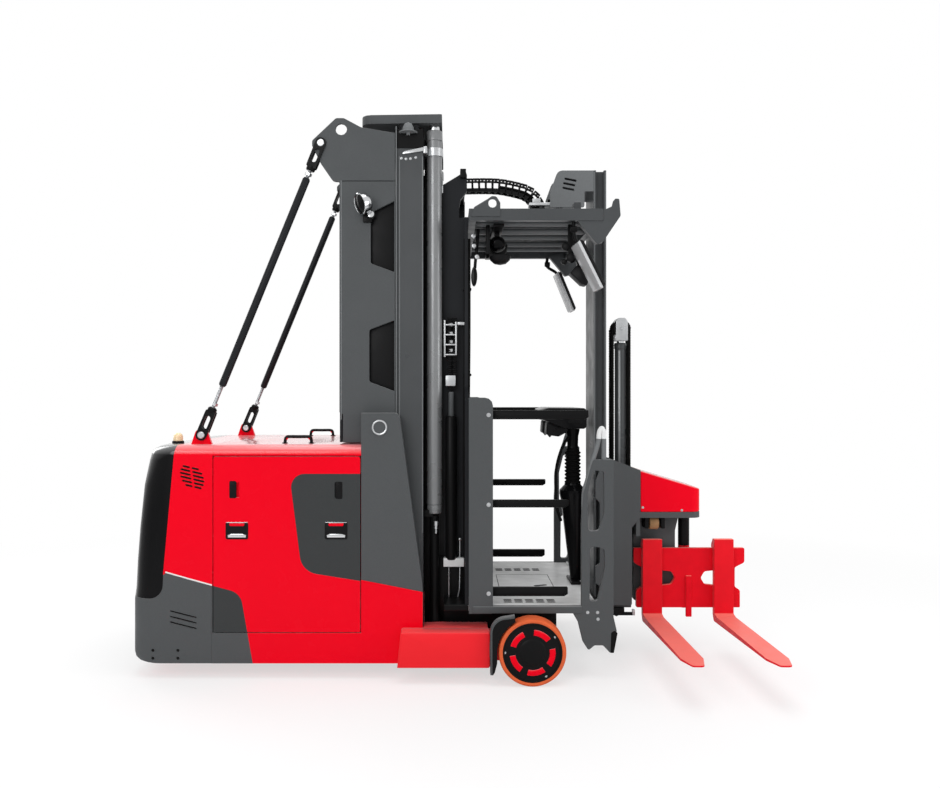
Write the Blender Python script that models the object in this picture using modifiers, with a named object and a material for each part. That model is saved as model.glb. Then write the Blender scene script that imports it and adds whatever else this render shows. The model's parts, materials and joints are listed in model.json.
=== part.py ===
"""Man-up turret truck with a rising cab, modelled as an assembly.

Metres, +Z up. +X points from the counterweight end to the forks and +Y to
the truck's left. The sizes below are measured from the point on the floor
under the middle of the cab's rear wall; the empty "truck_root" moves the
whole model so that its box stands centred on the origin.
"""
from math import atan2, cos, hypot, pi, radians, sin, tau

import bmesh
import bpy
from mathutils import Matrix, Vector

# Fits
FIT = 0.0003
RUN_GAP = 0.005
BORE_GAP = 0.0005

# Overall lines of the truck
REAR_X = -1.806
FRONT_X = 1.828
SIDE_Y = 0.635
BODY_BOTTOM = 0.087
BODY_TOP = 1.310
REAR_CORNER_R = 0.140
TOP_EDGE_R = 0.055
REAR_TOP_REACH = 0.110
BODY_FOOT_R = 0.045
BAY_REAR_X = -1.330
BAY_FRONT_X = -0.5293
BODY_FRONT_X = -0.498
BAY_FLOOR = 0.257
DOOR_TOP = 1.250
DOOR_THICK = 0.030
HINGE_X = -1.319
HINGE_Y = 0.629
HINGE_PIN_R = 0.004
HINGE_DEPTH = 0.015

# Front base and load legs
BASE_FRONT_X = -0.153
BASE_TOP = 0.250
SKIRT_INNER_Y = 0.602
FOOT_TOP = 1.489
FOOT_LOW_REAR = 0.5545
FOOT_LOW_FRONT = 0.487
FOOT_INNER_Y = 0.5503
LEG_INNER_Y = 0.500
LEG_OUTER_Y = 0.740
LEG_FRONT_X = 0.220
LEG_BOTTOM = 0.092
LEG_TOP = 0.289
ARM_THICK = 0.075

# Wheels
LOAD_R = 0.185
LOAD_X = 0.450
LOAD_INNER_Y = 0.668
LOAD_OUTER_Y = 0.775
RIM_R = 0.163
AXLE_R = 0.025
GUARD_GAP = 0.030
GUARD_THICK = 0.010
GUARD_INNER_Y = 0.728
DRIVE_R = 0.170
DRIVE_X = -1.550
DRIVE_HALF = 0.060
ARCH_R = 0.200
ARCH_TOP = 0.500
TURNTABLE_R = 0.180

# Mast
RAIL_REAR_X = -0.313
RAIL_FRONT_X = -0.153
RAIL_OUTER_Y = 0.5297
RAIL_INNER_Y = 0.440
RAIL_WEB = 0.020
RAIL_FLANGE = 0.023
OUTER_RAIL_TOP = 3.110
PLATE_OUTER_Y = 0.550
PLATE_THICK = 0.020
INNER_OUTER_Y = 0.500
INNER_INNER_Y = 0.370
INNER_FLANGE = 0.015
INNER_RAIL_BOTTOM = 0.320
HEAD_LOW = 3.150
HEAD_TOP = 3.200
LIFT_Y = 0.450
LIFT_X = -0.0905
BARREL_R = 0.0435
BARREL_BORE_R = 0.033
ROD_R = 0.0300
BARREL_LOW = 0.904
BARREL_TOP = 3.120

# Stays
STAY_Y = 0.540
STAY_LOW = (-1.416, 1.361)
STAY_HIGH = (-0.736, 3.024)
STAY_PIN_R = 0.014
LUG_THICK = 0.020

# Cab
CAB_REAR_X = -0.035
CAB_WALL_X = 0.105
WALL_THICK = 0.020
FLOOR_FRONT_X = 0.825
FLOOR_LOW = 0.375
FLOOR_TOP = 0.410
CAB_INNER_Y = 0.6147
CAB_OUTER_Y = 0.650
CAB_ROLLER_R = 0.0365
HEAD_PLATE_LOW = 1.384
UNDER_FRAME_LOW = 0.150
UNDER_FRAME_FRONT_X = 0.620
PANEL_TOP = 1.575
ROOF_LOW = 2.558
ROOF_TOP = 2.624
ROOF_Y = 0.680
ROOF_RAIL_TOP = 2.680
ROOF_FRONT_X = 0.850

# Barrier bars
BAR_PIVOT_X = 0.216
BAR_PIVOTS_Z = (1.478, 0.977, 0.481)
BAR_ENDS_X = (0.782, 0.670, 0.665)
BAR_HALF = 0.022
BAR_OUTER_Y = 0.605
BAR_THICK = 0.028

# Auxiliary mast
AUX_REAR_X = 0.885
AUX_FRONT_X = 0.963
AUX_HALF_Y = 0.150
AUX_WEB_Y = 0.100
AUX_WEB = 0.012
AUX_FLANGE = 0.015
AUX_LOW = 0.280
AUX_TOP = 2.974
AUX_BARREL_X = 1.078
AUX_BARREL_R = 0.0345
AUX_ROD_R = 0.022
AUX_BARREL_TOP = 1.920
TRAVERSE_RAIL_TOP = 0.420

# Turret head
CHEEK_OUTER_Y = 0.190
CHEEK_THICK = 0.018
CHEEK_REAR_X = 0.948
CHEEK_FRONT_X = 1.113
HEAD_BOTTOM = 0.304
HOOD_REAR_X = 1.165
HOOD_FRONT_X = 1.541
HOOD_LOW = 0.873
RIM_LOW = 0.838
PIVOT_X = 1.480
PIVOT_R = 0.035
HEAD_ROLLER_R = 0.0235

# Fork carriage and forks
CARRIAGE_FACE_Y = -0.110
CARRIAGE_THICK = 0.030
CARRIAGE_LOW = 0.271
CARRIAGE_TOP = 0.640
CARRIAGE_REAR_X = 1.141
FORK_WIDTH = 0.120
FORK_THICK = 0.040
FORK_X = (1.248, 1.689)
FORK_LOW = 0.192
FORK_TOP_Z = 0.700
FORK_TIP_Y = -1.135

ROUND_STEPS = 24
ARC_STEPS = 3
TOP_STEPS = 5
CORNER_STEPS = 6

root = None
parts = None
cutters = None
materials = {}


def clear_scene():
    """Remove the objects that the scene holds."""
    for item in list(bpy.data.objects):
        bpy.data.objects.remove(item, do_unlink=True)


def make_collection(name):
    """Return a new collection linked to the scene."""
    collection = bpy.data.collections.new(name)
    bpy.context.scene.collection.children.link(collection)
    return collection


def material(name, colour, roughness, metallic):
    """Make a Principled material and keep it under its name."""
    made = bpy.data.materials.new(name)
    made.use_nodes = True
    shader = made.node_tree.nodes["Principled BSDF"]
    shader.inputs["Base Color"].default_value = (*colour, 1.0)
    shader.inputs["Roughness"].default_value = roughness
    shader.inputs["Metallic"].default_value = metallic
    materials[name] = made


def add_object(name, mesh, at=(0.0, 0.0, 0.0)):
    """Link a mesh as an object of the truck, carried by the root empty."""
    item = bpy.data.objects.new(name, mesh)
    item.location = at
    item.parent = root
    parts.objects.link(item)
    return item


def finish(item, name, finish_name, smooth=False):
    """Name a finished piece and give it its material."""
    item.name = name
    item.data.name = name
    item.data.materials.clear()
    item.data.materials.append(materials[finish_name])
    if smooth:
        item.data.shade_smooth()
        item.data.set_sharp_from_angle(angle=radians(35))
    return item


def apply_boolean(target, tool, operation):
    """Join, cut or intersect the target with a tool kept among the cutters."""
    change = target.modifiers.new(operation.lower(), "BOOLEAN")
    change.operation = operation
    change.solver = "EXACT"
    change.object = tool
    if tool.name in parts.objects:
        parts.objects.unlink(tool)
        cutters.objects.link(tool)
    tool.hide_render = True
    tool.display_type = "WIRE"
    return target


def cut(target, *tools):
    """Take each tool away from the target."""
    for tool in tools:
        apply_boolean(target, tool, "DIFFERENCE")
    return target


def join(target, *tools):
    """Weld each tool to the target."""
    for tool in tools:
        apply_boolean(target, tool, "UNION")
    return target


def common(target, *tools):
    """Keep what the target shares with each tool."""
    for tool in tools:
        apply_boolean(target, tool, "INTERSECT")
    return target


def box(low, high, bevel=0.0):
    """A box between two corners, with its edges rounded by a bevel."""
    low = Vector(low)
    high = Vector(high)
    shape = bmesh.new()
    bmesh.ops.create_cube(shape, size=1.0)
    size = high - low
    bmesh.ops.scale(shape, vec=size, verts=shape.verts)
    mesh = bpy.data.meshes.new("box")
    shape.to_mesh(mesh)
    shape.free()
    item = add_object("box", mesh, (low + high) / 2)
    if bevel:
        edge = item.modifiers.new("bevel", "BEVEL")
        edge.width = bevel
        edge.segments = 1
        edge.limit_method = "ANGLE"
    return item


def rod(start, end, radius, steps=ROUND_STEPS, end_radius=None):
    """A round bar or a cone from one point to another."""
    start = Vector(start)
    end = Vector(end)
    along = end - start
    shape = bmesh.new()
    bmesh.ops.create_cone(
        shape, cap_ends=True, segments=steps, radius1=radius,
        radius2=radius if end_radius is None else end_radius, depth=along.length)
    turn = Vector((0.0, 0.0, 1.0)).rotation_difference(along.normalized())
    bmesh.ops.rotate(shape, cent=(0, 0, 0), matrix=turn.to_matrix(), verts=shape.verts)
    mesh = bpy.data.meshes.new("rod")
    shape.to_mesh(mesh)
    shape.free()
    return add_object("rod", mesh, (start + end) / 2)


def rounded(corners, steps=ARC_STEPS):
    """Turn (u, v, radius) corners into an outline with round corners."""
    outline = []
    count = len(corners)
    for index, (u, v, radius) in enumerate(corners):
        here = Vector((u, v))
        before = (Vector(corners[index - 1][:2]) - here).normalized()
        after = (Vector(corners[(index + 1) % count][:2]) - here).normalized()
        if radius <= 0.0:
            outline.append((u, v))
            continue
        half = before.angle(after) / 2
        centre = here + (before + after).normalized() * (radius / sin(half))
        first = here + before * (radius * cos(half) / sin(half)) - centre
        sweep = first.angle_signed(here + after * (radius * cos(half) / sin(half)) - centre)
        for step in range(steps + 1):
            angle = atan2(first.y, first.x) - sweep * step / steps
            outline.append((centre.x + radius * cos(angle), centre.y + radius * sin(angle)))
    return outline


def inset(corners, gap):
    """Move each side of a closed outline inwards by the gap."""
    area = sum(corners[i - 1][0] * corners[i][1] - corners[i][0] * corners[i - 1][1]
               for i in range(len(corners)))
    turn = 1.0 if area > 0 else -1.0
    moved = []
    for index, (u, v) in enumerate(corners):
        back = Vector(corners[index - 1])
        here = Vector((u, v))
        ahead = Vector(corners[(index + 1) % len(corners)])
        first = (here - back).normalized()
        second = (ahead - here).normalized()
        normal_one = Vector((-first.y, first.x)) * turn
        normal_two = Vector((-second.y, second.x)) * turn
        across = (normal_one + normal_two).normalized()
        moved.append(tuple(here + across * (gap / across.dot(normal_one))))
    return moved


def circle(u, v, radius, steps=12):
    """A round outline."""
    return [(u + radius * cos(tau * i / steps), v + radius * sin(tau * i / steps))
            for i in range(steps)]


PLANES = {
    "XY": Matrix.Identity(4),
    "XZ": Matrix.Rotation(pi / 2, 4, "X"),
    "YZ": Matrix(((0, 0, 1, 0), (1, 0, 0, 0), (0, 1, 0, 0), (0, 0, 0, 1))),
}


def plate(plane, outline, low, high, holes=()):
    """A flat outline with holes, drawn in a plane and thick from low to high.

    The outline is in the plane's two axes, and low and high are measured
    along the third one.
    """
    drawing = bpy.data.curves.new("outline", "CURVE")
    drawing.dimensions = "2D"
    drawing.fill_mode = "BOTH"
    drawing.extrude = (high - low) / 2
    for loop in (outline, *holes):
        spline = drawing.splines.new("POLY")
        spline.points.add(len(loop) - 1)
        for point, (u, v) in zip(spline.points, loop):
            point.co = (u, v, 0.0, 1.0)
        spline.use_cyclic_u = True
    guide = bpy.data.objects.new("outline", drawing)
    cutters.objects.link(guide)
    bpy.context.view_layer.update()
    seen = guide.evaluated_get(bpy.context.evaluated_depsgraph_get())
    mesh = bpy.data.meshes.new_from_object(seen)
    bpy.data.objects.remove(guide, do_unlink=True)
    shape = bmesh.new()
    shape.from_mesh(mesh)
    bmesh.ops.remove_doubles(shape, verts=shape.verts, dist=0.00001)
    bmesh.ops.transform(shape, matrix=PLANES[plane], verts=shape.verts)
    bmesh.ops.recalc_face_normals(shape, faces=shape.faces)
    shape.to_mesh(mesh)
    shape.free()
    middle = (low + high) / 2
    place = {"XY": (0, 0, middle), "XZ": (0, middle, 0), "YZ": (middle, 0, 0)}
    return add_object("plate", mesh, place[plane])


def side_plate(outline, side, inner, outer, holes=()):
    """An XZ plate on the left (+1) or right (-1) between two half-widths."""
    low, high = sorted((side * inner, side * outer))
    return plate("XZ", outline, low, high, holes)


def side_box(side, x_low, x_high, inner, outer, z_low, z_high, bevel=0.0):
    """A box on the left (+1) or right (-1) between two half-widths."""
    low, high = sorted((side * inner, side * outer))
    return box((x_low, low, z_low), (x_high, high, z_high), bevel)


def pipe(points, radius, steps=2):
    """A round tube along a path, as a mesh with welded caps."""
    path = bpy.data.curves.new("path", "CURVE")
    path.dimensions = "3D"
    path.bevel_depth = radius
    path.bevel_resolution = steps
    path.use_fill_caps = True
    spline = path.splines.new("POLY")
    spline.points.add(len(points) - 1)
    for point, place in zip(spline.points, points):
        point.co = (*place, 1.0)
    guide = bpy.data.objects.new("path", path)
    cutters.objects.link(guide)
    bpy.context.view_layer.update()
    seen = guide.evaluated_get(bpy.context.evaluated_depsgraph_get())
    mesh = bpy.data.meshes.new_from_object(seen)
    bpy.data.objects.remove(guide, do_unlink=True)
    shape = bmesh.new()
    shape.from_mesh(mesh)
    bmesh.ops.remove_doubles(shape, verts=shape.verts, dist=0.00001)
    bmesh.ops.recalc_face_normals(shape, faces=shape.faces)
    shape.to_mesh(mesh)
    shape.free()
    return add_object("pipe", mesh)


def turned(profile, centre, axis, steps=ROUND_STEPS):
    """A closed profile of (radius, along) points turned about an axis."""
    shape = bmesh.new()
    loop = [shape.verts.new((radius, 0.0, along)) for radius, along in profile]
    edges = [shape.edges.new((loop[i - 1], loop[i])) for i in range(len(loop))
             if profile[i - 1][0] > 0.0 or profile[i][0] > 0.0]
    bmesh.ops.spin(shape, geom=loop + edges, cent=(0, 0, 0), axis=(0, 0, 1),
                   angle=tau, steps=steps, use_merge=True)
    bmesh.ops.remove_doubles(shape, verts=shape.verts, dist=0.00001)
    turn = Vector((0.0, 0.0, 1.0)).rotation_difference(Vector(axis))
    bmesh.ops.rotate(shape, cent=(0, 0, 0), matrix=turn.to_matrix(), verts=shape.verts)
    bmesh.ops.recalc_face_normals(shape, faces=shape.faces)
    mesh = bpy.data.meshes.new("turned")
    shape.to_mesh(mesh)
    shape.free()
    return add_object("turned", mesh, centre)


# The body's side outline, and the lines that divide it

REAR_LINE = (
    (REAR_X, 0.430), (-1.797, 0.500), (-1.790, 0.650), (-1.775, 0.840),
    (-1.750, 1.080), (-1.720, 1.220), (-1.710, BODY_TOP - TOP_EDGE_R),
)
SEAM_LINE = ((-1.520, 1.400), (-1.546, 1.255), (-1.607, 0.582))
COVER_LOW = 0.449
COVER_CORNER_R = 0.075
BUMPER_LINE = ((-1.592, 0.593), (-1.335, 0.521))


def body_levels():
    """The height, rear end and side inset of each ring of the rear body."""
    levels = []
    for step in range(ARC_STEPS + 1):
        turn = pi / 2 * step / ARC_STEPS
        levels.append((BODY_BOTTOM + BODY_FOOT_R * (1 - cos(turn)),
                       REAR_X + BODY_FOOT_R * (1 - sin(turn)), 0.0))
    levels += [(z, x, 0.0) for x, z in REAR_LINE]
    for step in range(1, TOP_STEPS + 1):
        turn = pi / 2 * step / TOP_STEPS
        levels.append((BODY_TOP - TOP_EDGE_R * (1 - sin(turn)),
                       REAR_LINE[-1][0] + REAR_TOP_REACH * (1 - cos(turn)),
                       TOP_EDGE_R * (1 - cos(turn))))
    return levels


def body_ring(rear, half):
    """One plan of the rear body, round at its two rear corners."""
    ring = [(BASE_FRONT_X, half)]
    for side, start in ((1, pi / 2), (-1, pi)):
        for step in range(CORNER_STEPS + 1):
            angle = start + pi / 2 * step / CORNER_STEPS
            ring.append((rear + REAR_CORNER_R * (1 + cos(angle)),
                         side * (half - REAR_CORNER_R) + REAR_CORNER_R * sin(angle)))
    ring.append((BASE_FRONT_X, -half))
    return ring


def body_blank():
    """The whole rear body as one block, from which each panel is taken."""
    shape = bmesh.new()
    rings = []
    for z, rear, inward in body_levels():
        rings.append([shape.verts.new((x, y, z)) for x, y in body_ring(rear, SIDE_Y - inward)])
    for low, high in zip(rings, rings[1:]):
        for i in range(len(low)):
            shape.faces.new((low[i - 1], low[i], high[i], high[i - 1]))
    shape.faces.new(rings[0][::-1])
    shape.faces.new(rings[-1])
    bmesh.ops.recalc_face_normals(shape, faces=shape.faces)
    mesh = bpy.data.meshes.new("body")
    shape.to_mesh(mesh)
    shape.free()
    above_skirt = plate("XZ", [(BODY_FRONT_X, FOOT_LOW_REAR), (BASE_FRONT_X + 0.100, FOOT_LOW_FRONT - 0.020),
                               (BASE_FRONT_X + 0.100, 1.500), (BODY_FRONT_X, 1.500)], -1.0, 1.0)
    between = box((BODY_FRONT_X - 0.001, -SKIRT_INNER_Y, BASE_TOP), (BASE_FRONT_X + 0.200, SKIRT_INNER_Y, 1.400))
    return cut(add_object("body", mesh), join(above_skirt, between))


def section_outline(low):
    """The body's cross-section from a height up, with rounded top edges."""
    return rounded([(-SIDE_Y, low, 0.0), (SIDE_Y, low, 0.0),
                    (SIDE_Y, BODY_TOP, TOP_EDGE_R), (-SIDE_Y, BODY_TOP, TOP_EDGE_R)], TOP_STEPS)


def core(gap):
    """The structure inside the rear skins, seen from the side."""
    outline = [(-1.740 - gap, -0.1), (-1.740 - gap, 0.600), (-1.640 - gap, 1.150 + gap),
               (-1.000, 1.150 + gap), (-1.000, -0.1)]
    return plate("XZ", outline, -0.585 - gap, 0.585 + gap)


def cover_region():
    """The black rear panel's place, seen from the side, up over the top."""
    return rounded([(-2.0, SEAM_LINE[0][1], 0.0), *[(x, z, 0.0) for x, z in SEAM_LINE],
                    (-1.612, COVER_LOW, COVER_CORNER_R), (-2.0, COVER_LOW, 0.0)], CORNER_STEPS)


def skin_region():
    """The place of both rear skins together, seen from the side."""
    return [(-2.0, SEAM_LINE[0][1]), *SEAM_LINE, *BUMPER_LINE,
            (BAY_REAR_X - RUN_GAP, -0.050), (-2.0, -0.050)]


def drive_arch():
    """The round well for the steered drive wheel."""
    return rod((DRIVE_X, 0, -0.2), (DRIVE_X, 0, ARCH_TOP), ARCH_R)


def build_chassis():
    """The frame with its battery bay, rear panels, lid and battery."""
    shell = body_blank()
    cut(shell, cut(plate("XZ", skin_region(), -1.0, 1.0), core(0.0)))
    bay = box((BAY_REAR_X, -1.0, BAY_FLOOR), (BAY_FRONT_X, 1.0, 2.0))
    cut(shell, bay, drive_arch())
    for side in (-1, 1):
        cut(shell, side_box(side, BAY_REAR_X, BODY_FRONT_X + FIT, SIDE_Y - DOOR_THICK - RUN_GAP,
                            1.0, BAY_FLOOR, DOOR_TOP))
        join(shell, stay_lug(side))
        join(shell, hinge_pin(side, BAY_FLOOR - 0.010, BAY_FLOOR + RUN_GAP + HINGE_DEPTH, HINGE_PIN_R))
    finish(shell, "chassis_shell", "red")

    cover = common(body_blank(), plate("XZ", inset(cover_region(), FIT), -1.0, 1.0))
    finish(cut(cover, core(FIT)), "rear_cover", "black")
    bumper = common(body_blank(), plate("XZ", inset(skin_region(), FIT), -1.0, 1.0))
    cut(bumper, plate("XZ", inset(cover_region(), -FIT), -1.1, 1.1), core(FIT))
    finish(bumper, "rear_bumper", "grey")

    lid = plate("YZ", section_outline(DOOR_TOP + FIT), BAY_REAR_X + FIT, BAY_FRONT_X - FIT)
    for side in (-1, 1):
        join(lid, lid_handle(side))
        join(lid, hinge_pin(side, DOOR_TOP - RUN_GAP - HINGE_DEPTH, DOOR_TOP + 0.010, HINGE_PIN_R))
    finish(lid, "top_cover", "red")
    finish(box((BAY_REAR_X + 0.030, -0.560, BAY_FLOOR + FIT),
               (BAY_FRONT_X - 0.010, 0.560, 1.170), 0.010), "battery", "steel_grey")


def hinge_pin(side, low, high, radius):
    """An upright pin, or the hole for one, on a door's hinge line."""
    return rod((HINGE_X, side * HINGE_Y, low), (HINGE_X, side * HINGE_Y, high), radius, 12)


def stay_lug(side):
    """The lug on the body's top that holds a stay's lower fork."""
    x, z = STAY_LOW
    outline = rounded([(x - 0.065, BODY_TOP - 0.020, 0.0), (x + 0.067, BODY_TOP - 0.020, 0.0),
                       (x + 0.030, z + 0.034, 0.028), (x - 0.030, z + 0.034, 0.028)])
    return side_plate(outline, side, STAY_Y - LUG_THICK / 2, STAY_Y + LUG_THICK / 2,
                      [circle(x, z, STAY_PIN_R + BORE_GAP)])


def lid_handle(side):
    """A low bow handle that lifts the battery lid."""
    y = side * 0.461
    low = BODY_TOP - 0.013
    high = BODY_TOP + 0.038
    path = [(-0.957, y, low), (-0.955, y, high - 0.019), (-0.937, y, high),
            (-0.823, y, high), (-0.805, y, high - 0.019), (-0.803, y, low)]
    return pipe(path, 0.0075)


def build_doors():
    """The two battery doors, each with its latch pockets and lock slots."""
    low_x = BAY_REAR_X + RUN_GAP
    high_x = BODY_FRONT_X - RUN_GAP
    for side, tag in ((-1, "r"), (1, "l")):
        corners = [(low_x, BAY_FLOOR + RUN_GAP, 0.004), (high_x, BAY_FLOOR + RUN_GAP, 0.004),
                   (high_x, DOOR_TOP - RUN_GAP, 0.012), (low_x, DOOR_TOP - RUN_GAP, 0.012)]
        door = side_plate(rounded(corners, 3), side, SIDE_Y - DOOR_THICK, SIDE_Y)
        for x in (-1.193, -0.632):
            cut(door, side_box(side, x - 0.058, x + 0.058, SIDE_Y - 0.022, SIDE_Y + 0.05,
                               0.785, 0.872))
            cut(door, side_box(side, x - 0.014, x + 0.014, SIDE_Y - 0.015, SIDE_Y + 0.05,
                               1.015, 1.100))
            join(door, side_box(side, x - 0.052, x + 0.052, SIDE_Y - 0.025, SIDE_Y - 0.006,
                                0.840, 0.866))
        for low in (BAY_FLOOR - 0.010, DOOR_TOP - RUN_GAP - HINGE_DEPTH - 0.001):
            cut(door, hinge_pin(side, low, low + HINGE_DEPTH + RUN_GAP + 0.011, HINGE_PIN_R + BORE_GAP))
        finish(door, "battery_door_" + tag, "red")


def build_legs():
    """The load legs with their axle arms, stub axles and wheel guards."""
    for side, tag in ((-1, "r"), (1, "l")):
        outline = rounded([(-0.290, LEG_BOTTOM, 0.0), (LEG_FRONT_X, LEG_BOTTOM, 0.010),
                           (LEG_FRONT_X, LEG_TOP, 0.010), (-0.270, LEG_TOP, 0.010)])
        leg = side_plate(outline, side, SIDE_Y + FIT, LEG_OUTER_Y)
        join(leg, side_box(side, BASE_FRONT_X + FIT, LEG_FRONT_X - 0.005, LEG_INNER_Y, SIDE_Y + 0.030,
                           LEG_BOTTOM + 0.003, LEG_TOP - 0.003))
        arm = rounded([(0.100, 0.110, 0.0), (LOAD_X, 0.110, 0.0), (LOAD_X + 0.070, 0.130, 0.050),
                       (LOAD_X + 0.070, 0.250, 0.050), (LOAD_X, 0.270, 0.0), (0.100, 0.270, 0.0)])
        inner = LOAD_INNER_Y - 0.010 - ARM_THICK
        join(leg, side_plate(arm, side, inner, LOAD_INNER_Y - 0.010))
        axle_in = (LOAD_X, side * (LOAD_INNER_Y - 0.020), LOAD_R)
        axle_out = (LOAD_X, side * (LOAD_OUTER_Y - 0.020), LOAD_R)
        join(leg, rod(axle_in, axle_out, AXLE_R))
        join(leg, guard_plate(side))
        finish(leg, "load_leg_" + tag, "red")


def guard_plate(side):
    """The bent strip behind and above a load wheel, with its foot on the leg."""
    radius = LOAD_R + GUARD_GAP
    arc = [(LOAD_X + radius * cos(radians(a)), LOAD_R + radius * sin(radians(a)))
           for a in range(115, 181, 8)]
    outer = [(LOAD_X + (radius + GUARD_THICK) * cos(radians(a)),
              LOAD_R + (radius + GUARD_THICK) * sin(radians(a))) for a in range(179, 114, -8)]
    foot = [(LOAD_X - radius, 0.063), (LOAD_X - radius - GUARD_THICK, 0.063)]
    strip = side_plate(arc + foot + outer, side, GUARD_INNER_Y, LOAD_OUTER_Y)
    tab = side_box(side, LEG_FRONT_X - 0.010, LOAD_X - radius - 0.002, GUARD_INNER_Y,
                   LEG_OUTER_Y, 0.150, 0.230)
    return join(strip, tab)


def build_load_wheels():
    """Press-on tyres and spoked hubs of the load wheels."""
    for side, tag in ((-1, "r"), (1, "l")):
        width = LOAD_OUTER_Y - LOAD_INNER_Y
        middle = (LOAD_X, side * (LOAD_INNER_Y + width / 2), LOAD_R)
        half = width / 2
        tyre = turned([(RIM_R + FIT, -half + 0.006), (LOAD_R - 0.012, -half), (LOAD_R, -half + 0.012),
                       (LOAD_R, half - 0.012), (LOAD_R - 0.012, half), (RIM_R + FIT, half - 0.006)],
                      middle, (0, side, 0), 32)
        finish(tyre, "load_tyre_" + tag, "orange", True)
        bore = AXLE_R + BORE_GAP
        hub = turned([(bore, -half + 0.010), (0.060, -half + 0.010), (0.070, -0.020),
                      (RIM_R - 0.014, -0.020), (RIM_R - 0.014, -half + 0.006), (RIM_R, -half + 0.006),
                      (RIM_R, half - 0.006), (RIM_R - 0.008, half - 0.008),
                      (0.034, half - 0.008), (0.030, half - 0.014), (bore, half - 0.014)],
                     middle, (0, side, 0), 32)
        finish(hub, "load_hub_" + tag, "black", True)


def build_drive():
    """The steered drive unit and its wheel, in the well under the body."""
    unit = rod((DRIVE_X, 0, 0.420), (DRIVE_X, 0, ARCH_TOP - 0.010), TURNTABLE_R)
    side_in = DRIVE_HALF + 0.006
    join(unit, box((DRIVE_X - 0.060, side_in, 0.095), (DRIVE_X + 0.060, side_in + 0.055, 0.430)))
    join(unit, box((DRIVE_X - 0.060, -0.070, 0.360), (DRIVE_X + 0.060, side_in + 0.055, 0.430)))
    join(unit, rod((DRIVE_X, 0, ARCH_TOP - 0.020), (DRIVE_X, 0, ARCH_TOP - FIT), 0.090))
    join(unit, rod((DRIVE_X, -0.050, DRIVE_R), (DRIVE_X, side_in + 0.010, DRIVE_R), AXLE_R))
    finish(unit, "drive_unit", "black")
    bore = AXLE_R + BORE_GAP
    wheel = turned([(bore, -DRIVE_HALF + 0.010), (0.110, -DRIVE_HALF + 0.010),
                    (0.120, -DRIVE_HALF), (DRIVE_R - 0.010, -DRIVE_HALF), (DRIVE_R,
                                                                           -DRIVE_HALF + 0.010),
                    (DRIVE_R, DRIVE_HALF - 0.010), (DRIVE_R - 0.010, DRIVE_HALF),
                    (0.120, DRIVE_HALF), (0.110, DRIVE_HALF - 0.010), (bore, DRIVE_HALF - 0.010)],
                   (DRIVE_X, 0, DRIVE_R), (0, 1, 0), 32)
    finish(wheel, "drive_wheel", "orange", True)


def build_mast_frame():
    """The fixed mast: feet, side plates with gussets, rails, cross-members."""
    foot = rounded([(BODY_FRONT_X + FIT, FOOT_LOW_REAR + FIT, 0.0), (BASE_FRONT_X + 0.001,
                                                                     FOOT_LOW_FRONT + FIT, 0.0),
                    (-0.157, 0.545, 0.020), (-0.280, 1.452, 0.030), (-0.297, FOOT_TOP, 0.020),
                    (BODY_FRONT_X + FIT, FOOT_TOP, 0.0)])
    outline = rounded([
        (BODY_FRONT_X + FIT, BASE_TOP + FIT, 0.0), (RAIL_REAR_X - FIT, BASE_TOP + FIT, 0.0),
        (RAIL_REAR_X - FIT, 3.083, 0.0), (-0.506, 3.115, 0.060), (-0.605, 3.168, 0.020),
        (-0.650, 3.168, 0.020), (-0.786, 3.040, 0.020), (-0.786, 3.010, 0.020),
        (-0.735, 2.907, 0.030), (-0.665, 2.806, 0.030), (-0.630, 2.806, 0.010),
        (-0.630, 1.490, 0.0), (-0.610, 1.480, 0.0), (-0.610, BODY_TOP + 0.010, 0.0),
        (BODY_FRONT_X + FIT, BODY_TOP + 0.010, 0.0)])
    windows = [
        rounded([(-0.452, 2.340, 0.015), (-0.318, 2.290, 0.0), (-0.318, 2.695, 0.0), (-0.452, 2.630,
                                                                                      0.015)]),
        rounded([(-0.460, 1.665, 0.015), (-0.318, 1.612, 0.0), (-0.318, 2.015, 0.0), (-0.460, 1.962,
                                                                                      0.015)]),
    ]
    holes = windows + [circle(-0.620, 3.104, 0.033), circle(*STAY_HIGH, STAY_PIN_R + BORE_GAP)]
    for side, tag in ((-1, "r"), (1, "l")):
        base = side_plate(foot, side, FOOT_INNER_Y, SIDE_Y)
        join(base, rod((-0.394, side * (SIDE_Y - 0.010), 1.408), (-0.394, side * (SIDE_Y + 0.006),
                                                                  1.408), 0.042))
        finish(base, "mast_foot_" + tag, "grey")
        sheet = side_plate(outline, side, PLATE_OUTER_Y - PLATE_THICK, PLATE_OUTER_Y, holes)
        finish(sheet, "mast_side_plate_" + tag, "grey")
        finish(rail(side), "outer_rail_" + tag, "dark_grey")
    inner = PLATE_OUTER_Y - PLATE_THICK - FIT
    finish(box((-0.630, -inner, BODY_TOP + 0.010), (-0.615, inner, 2.800)), "mast_back_sheet", "grey")
    finish(box((-0.380, -inner, 2.900), (RAIL_REAR_X - FIT, inner, 3.060), 0.006),
           "mast_cross_member", "dark_grey")


def channel(side, x_low, x_high, inner, outer, web, flange):
    """The plan outline of a channel whose web is on its outer side."""
    points = [(x_low, outer), (x_low, inner), (x_low + flange, inner), (x_low + flange, outer - web),
              (x_high - flange, outer - web), (x_high - flange, inner), (x_high, inner), (x_high,
                                                                                          outer)]
    return [(x, side * y) for x, y in points]


def rail(side):
    """One fixed mast rail, a channel open to the inside."""
    outline = channel(side, RAIL_REAR_X, RAIL_FRONT_X, RAIL_INNER_Y, RAIL_OUTER_Y, RAIL_WEB,
                      RAIL_FLANGE)
    return plate("XY", outline, BASE_TOP + FIT, OUTER_RAIL_TOP)


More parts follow.
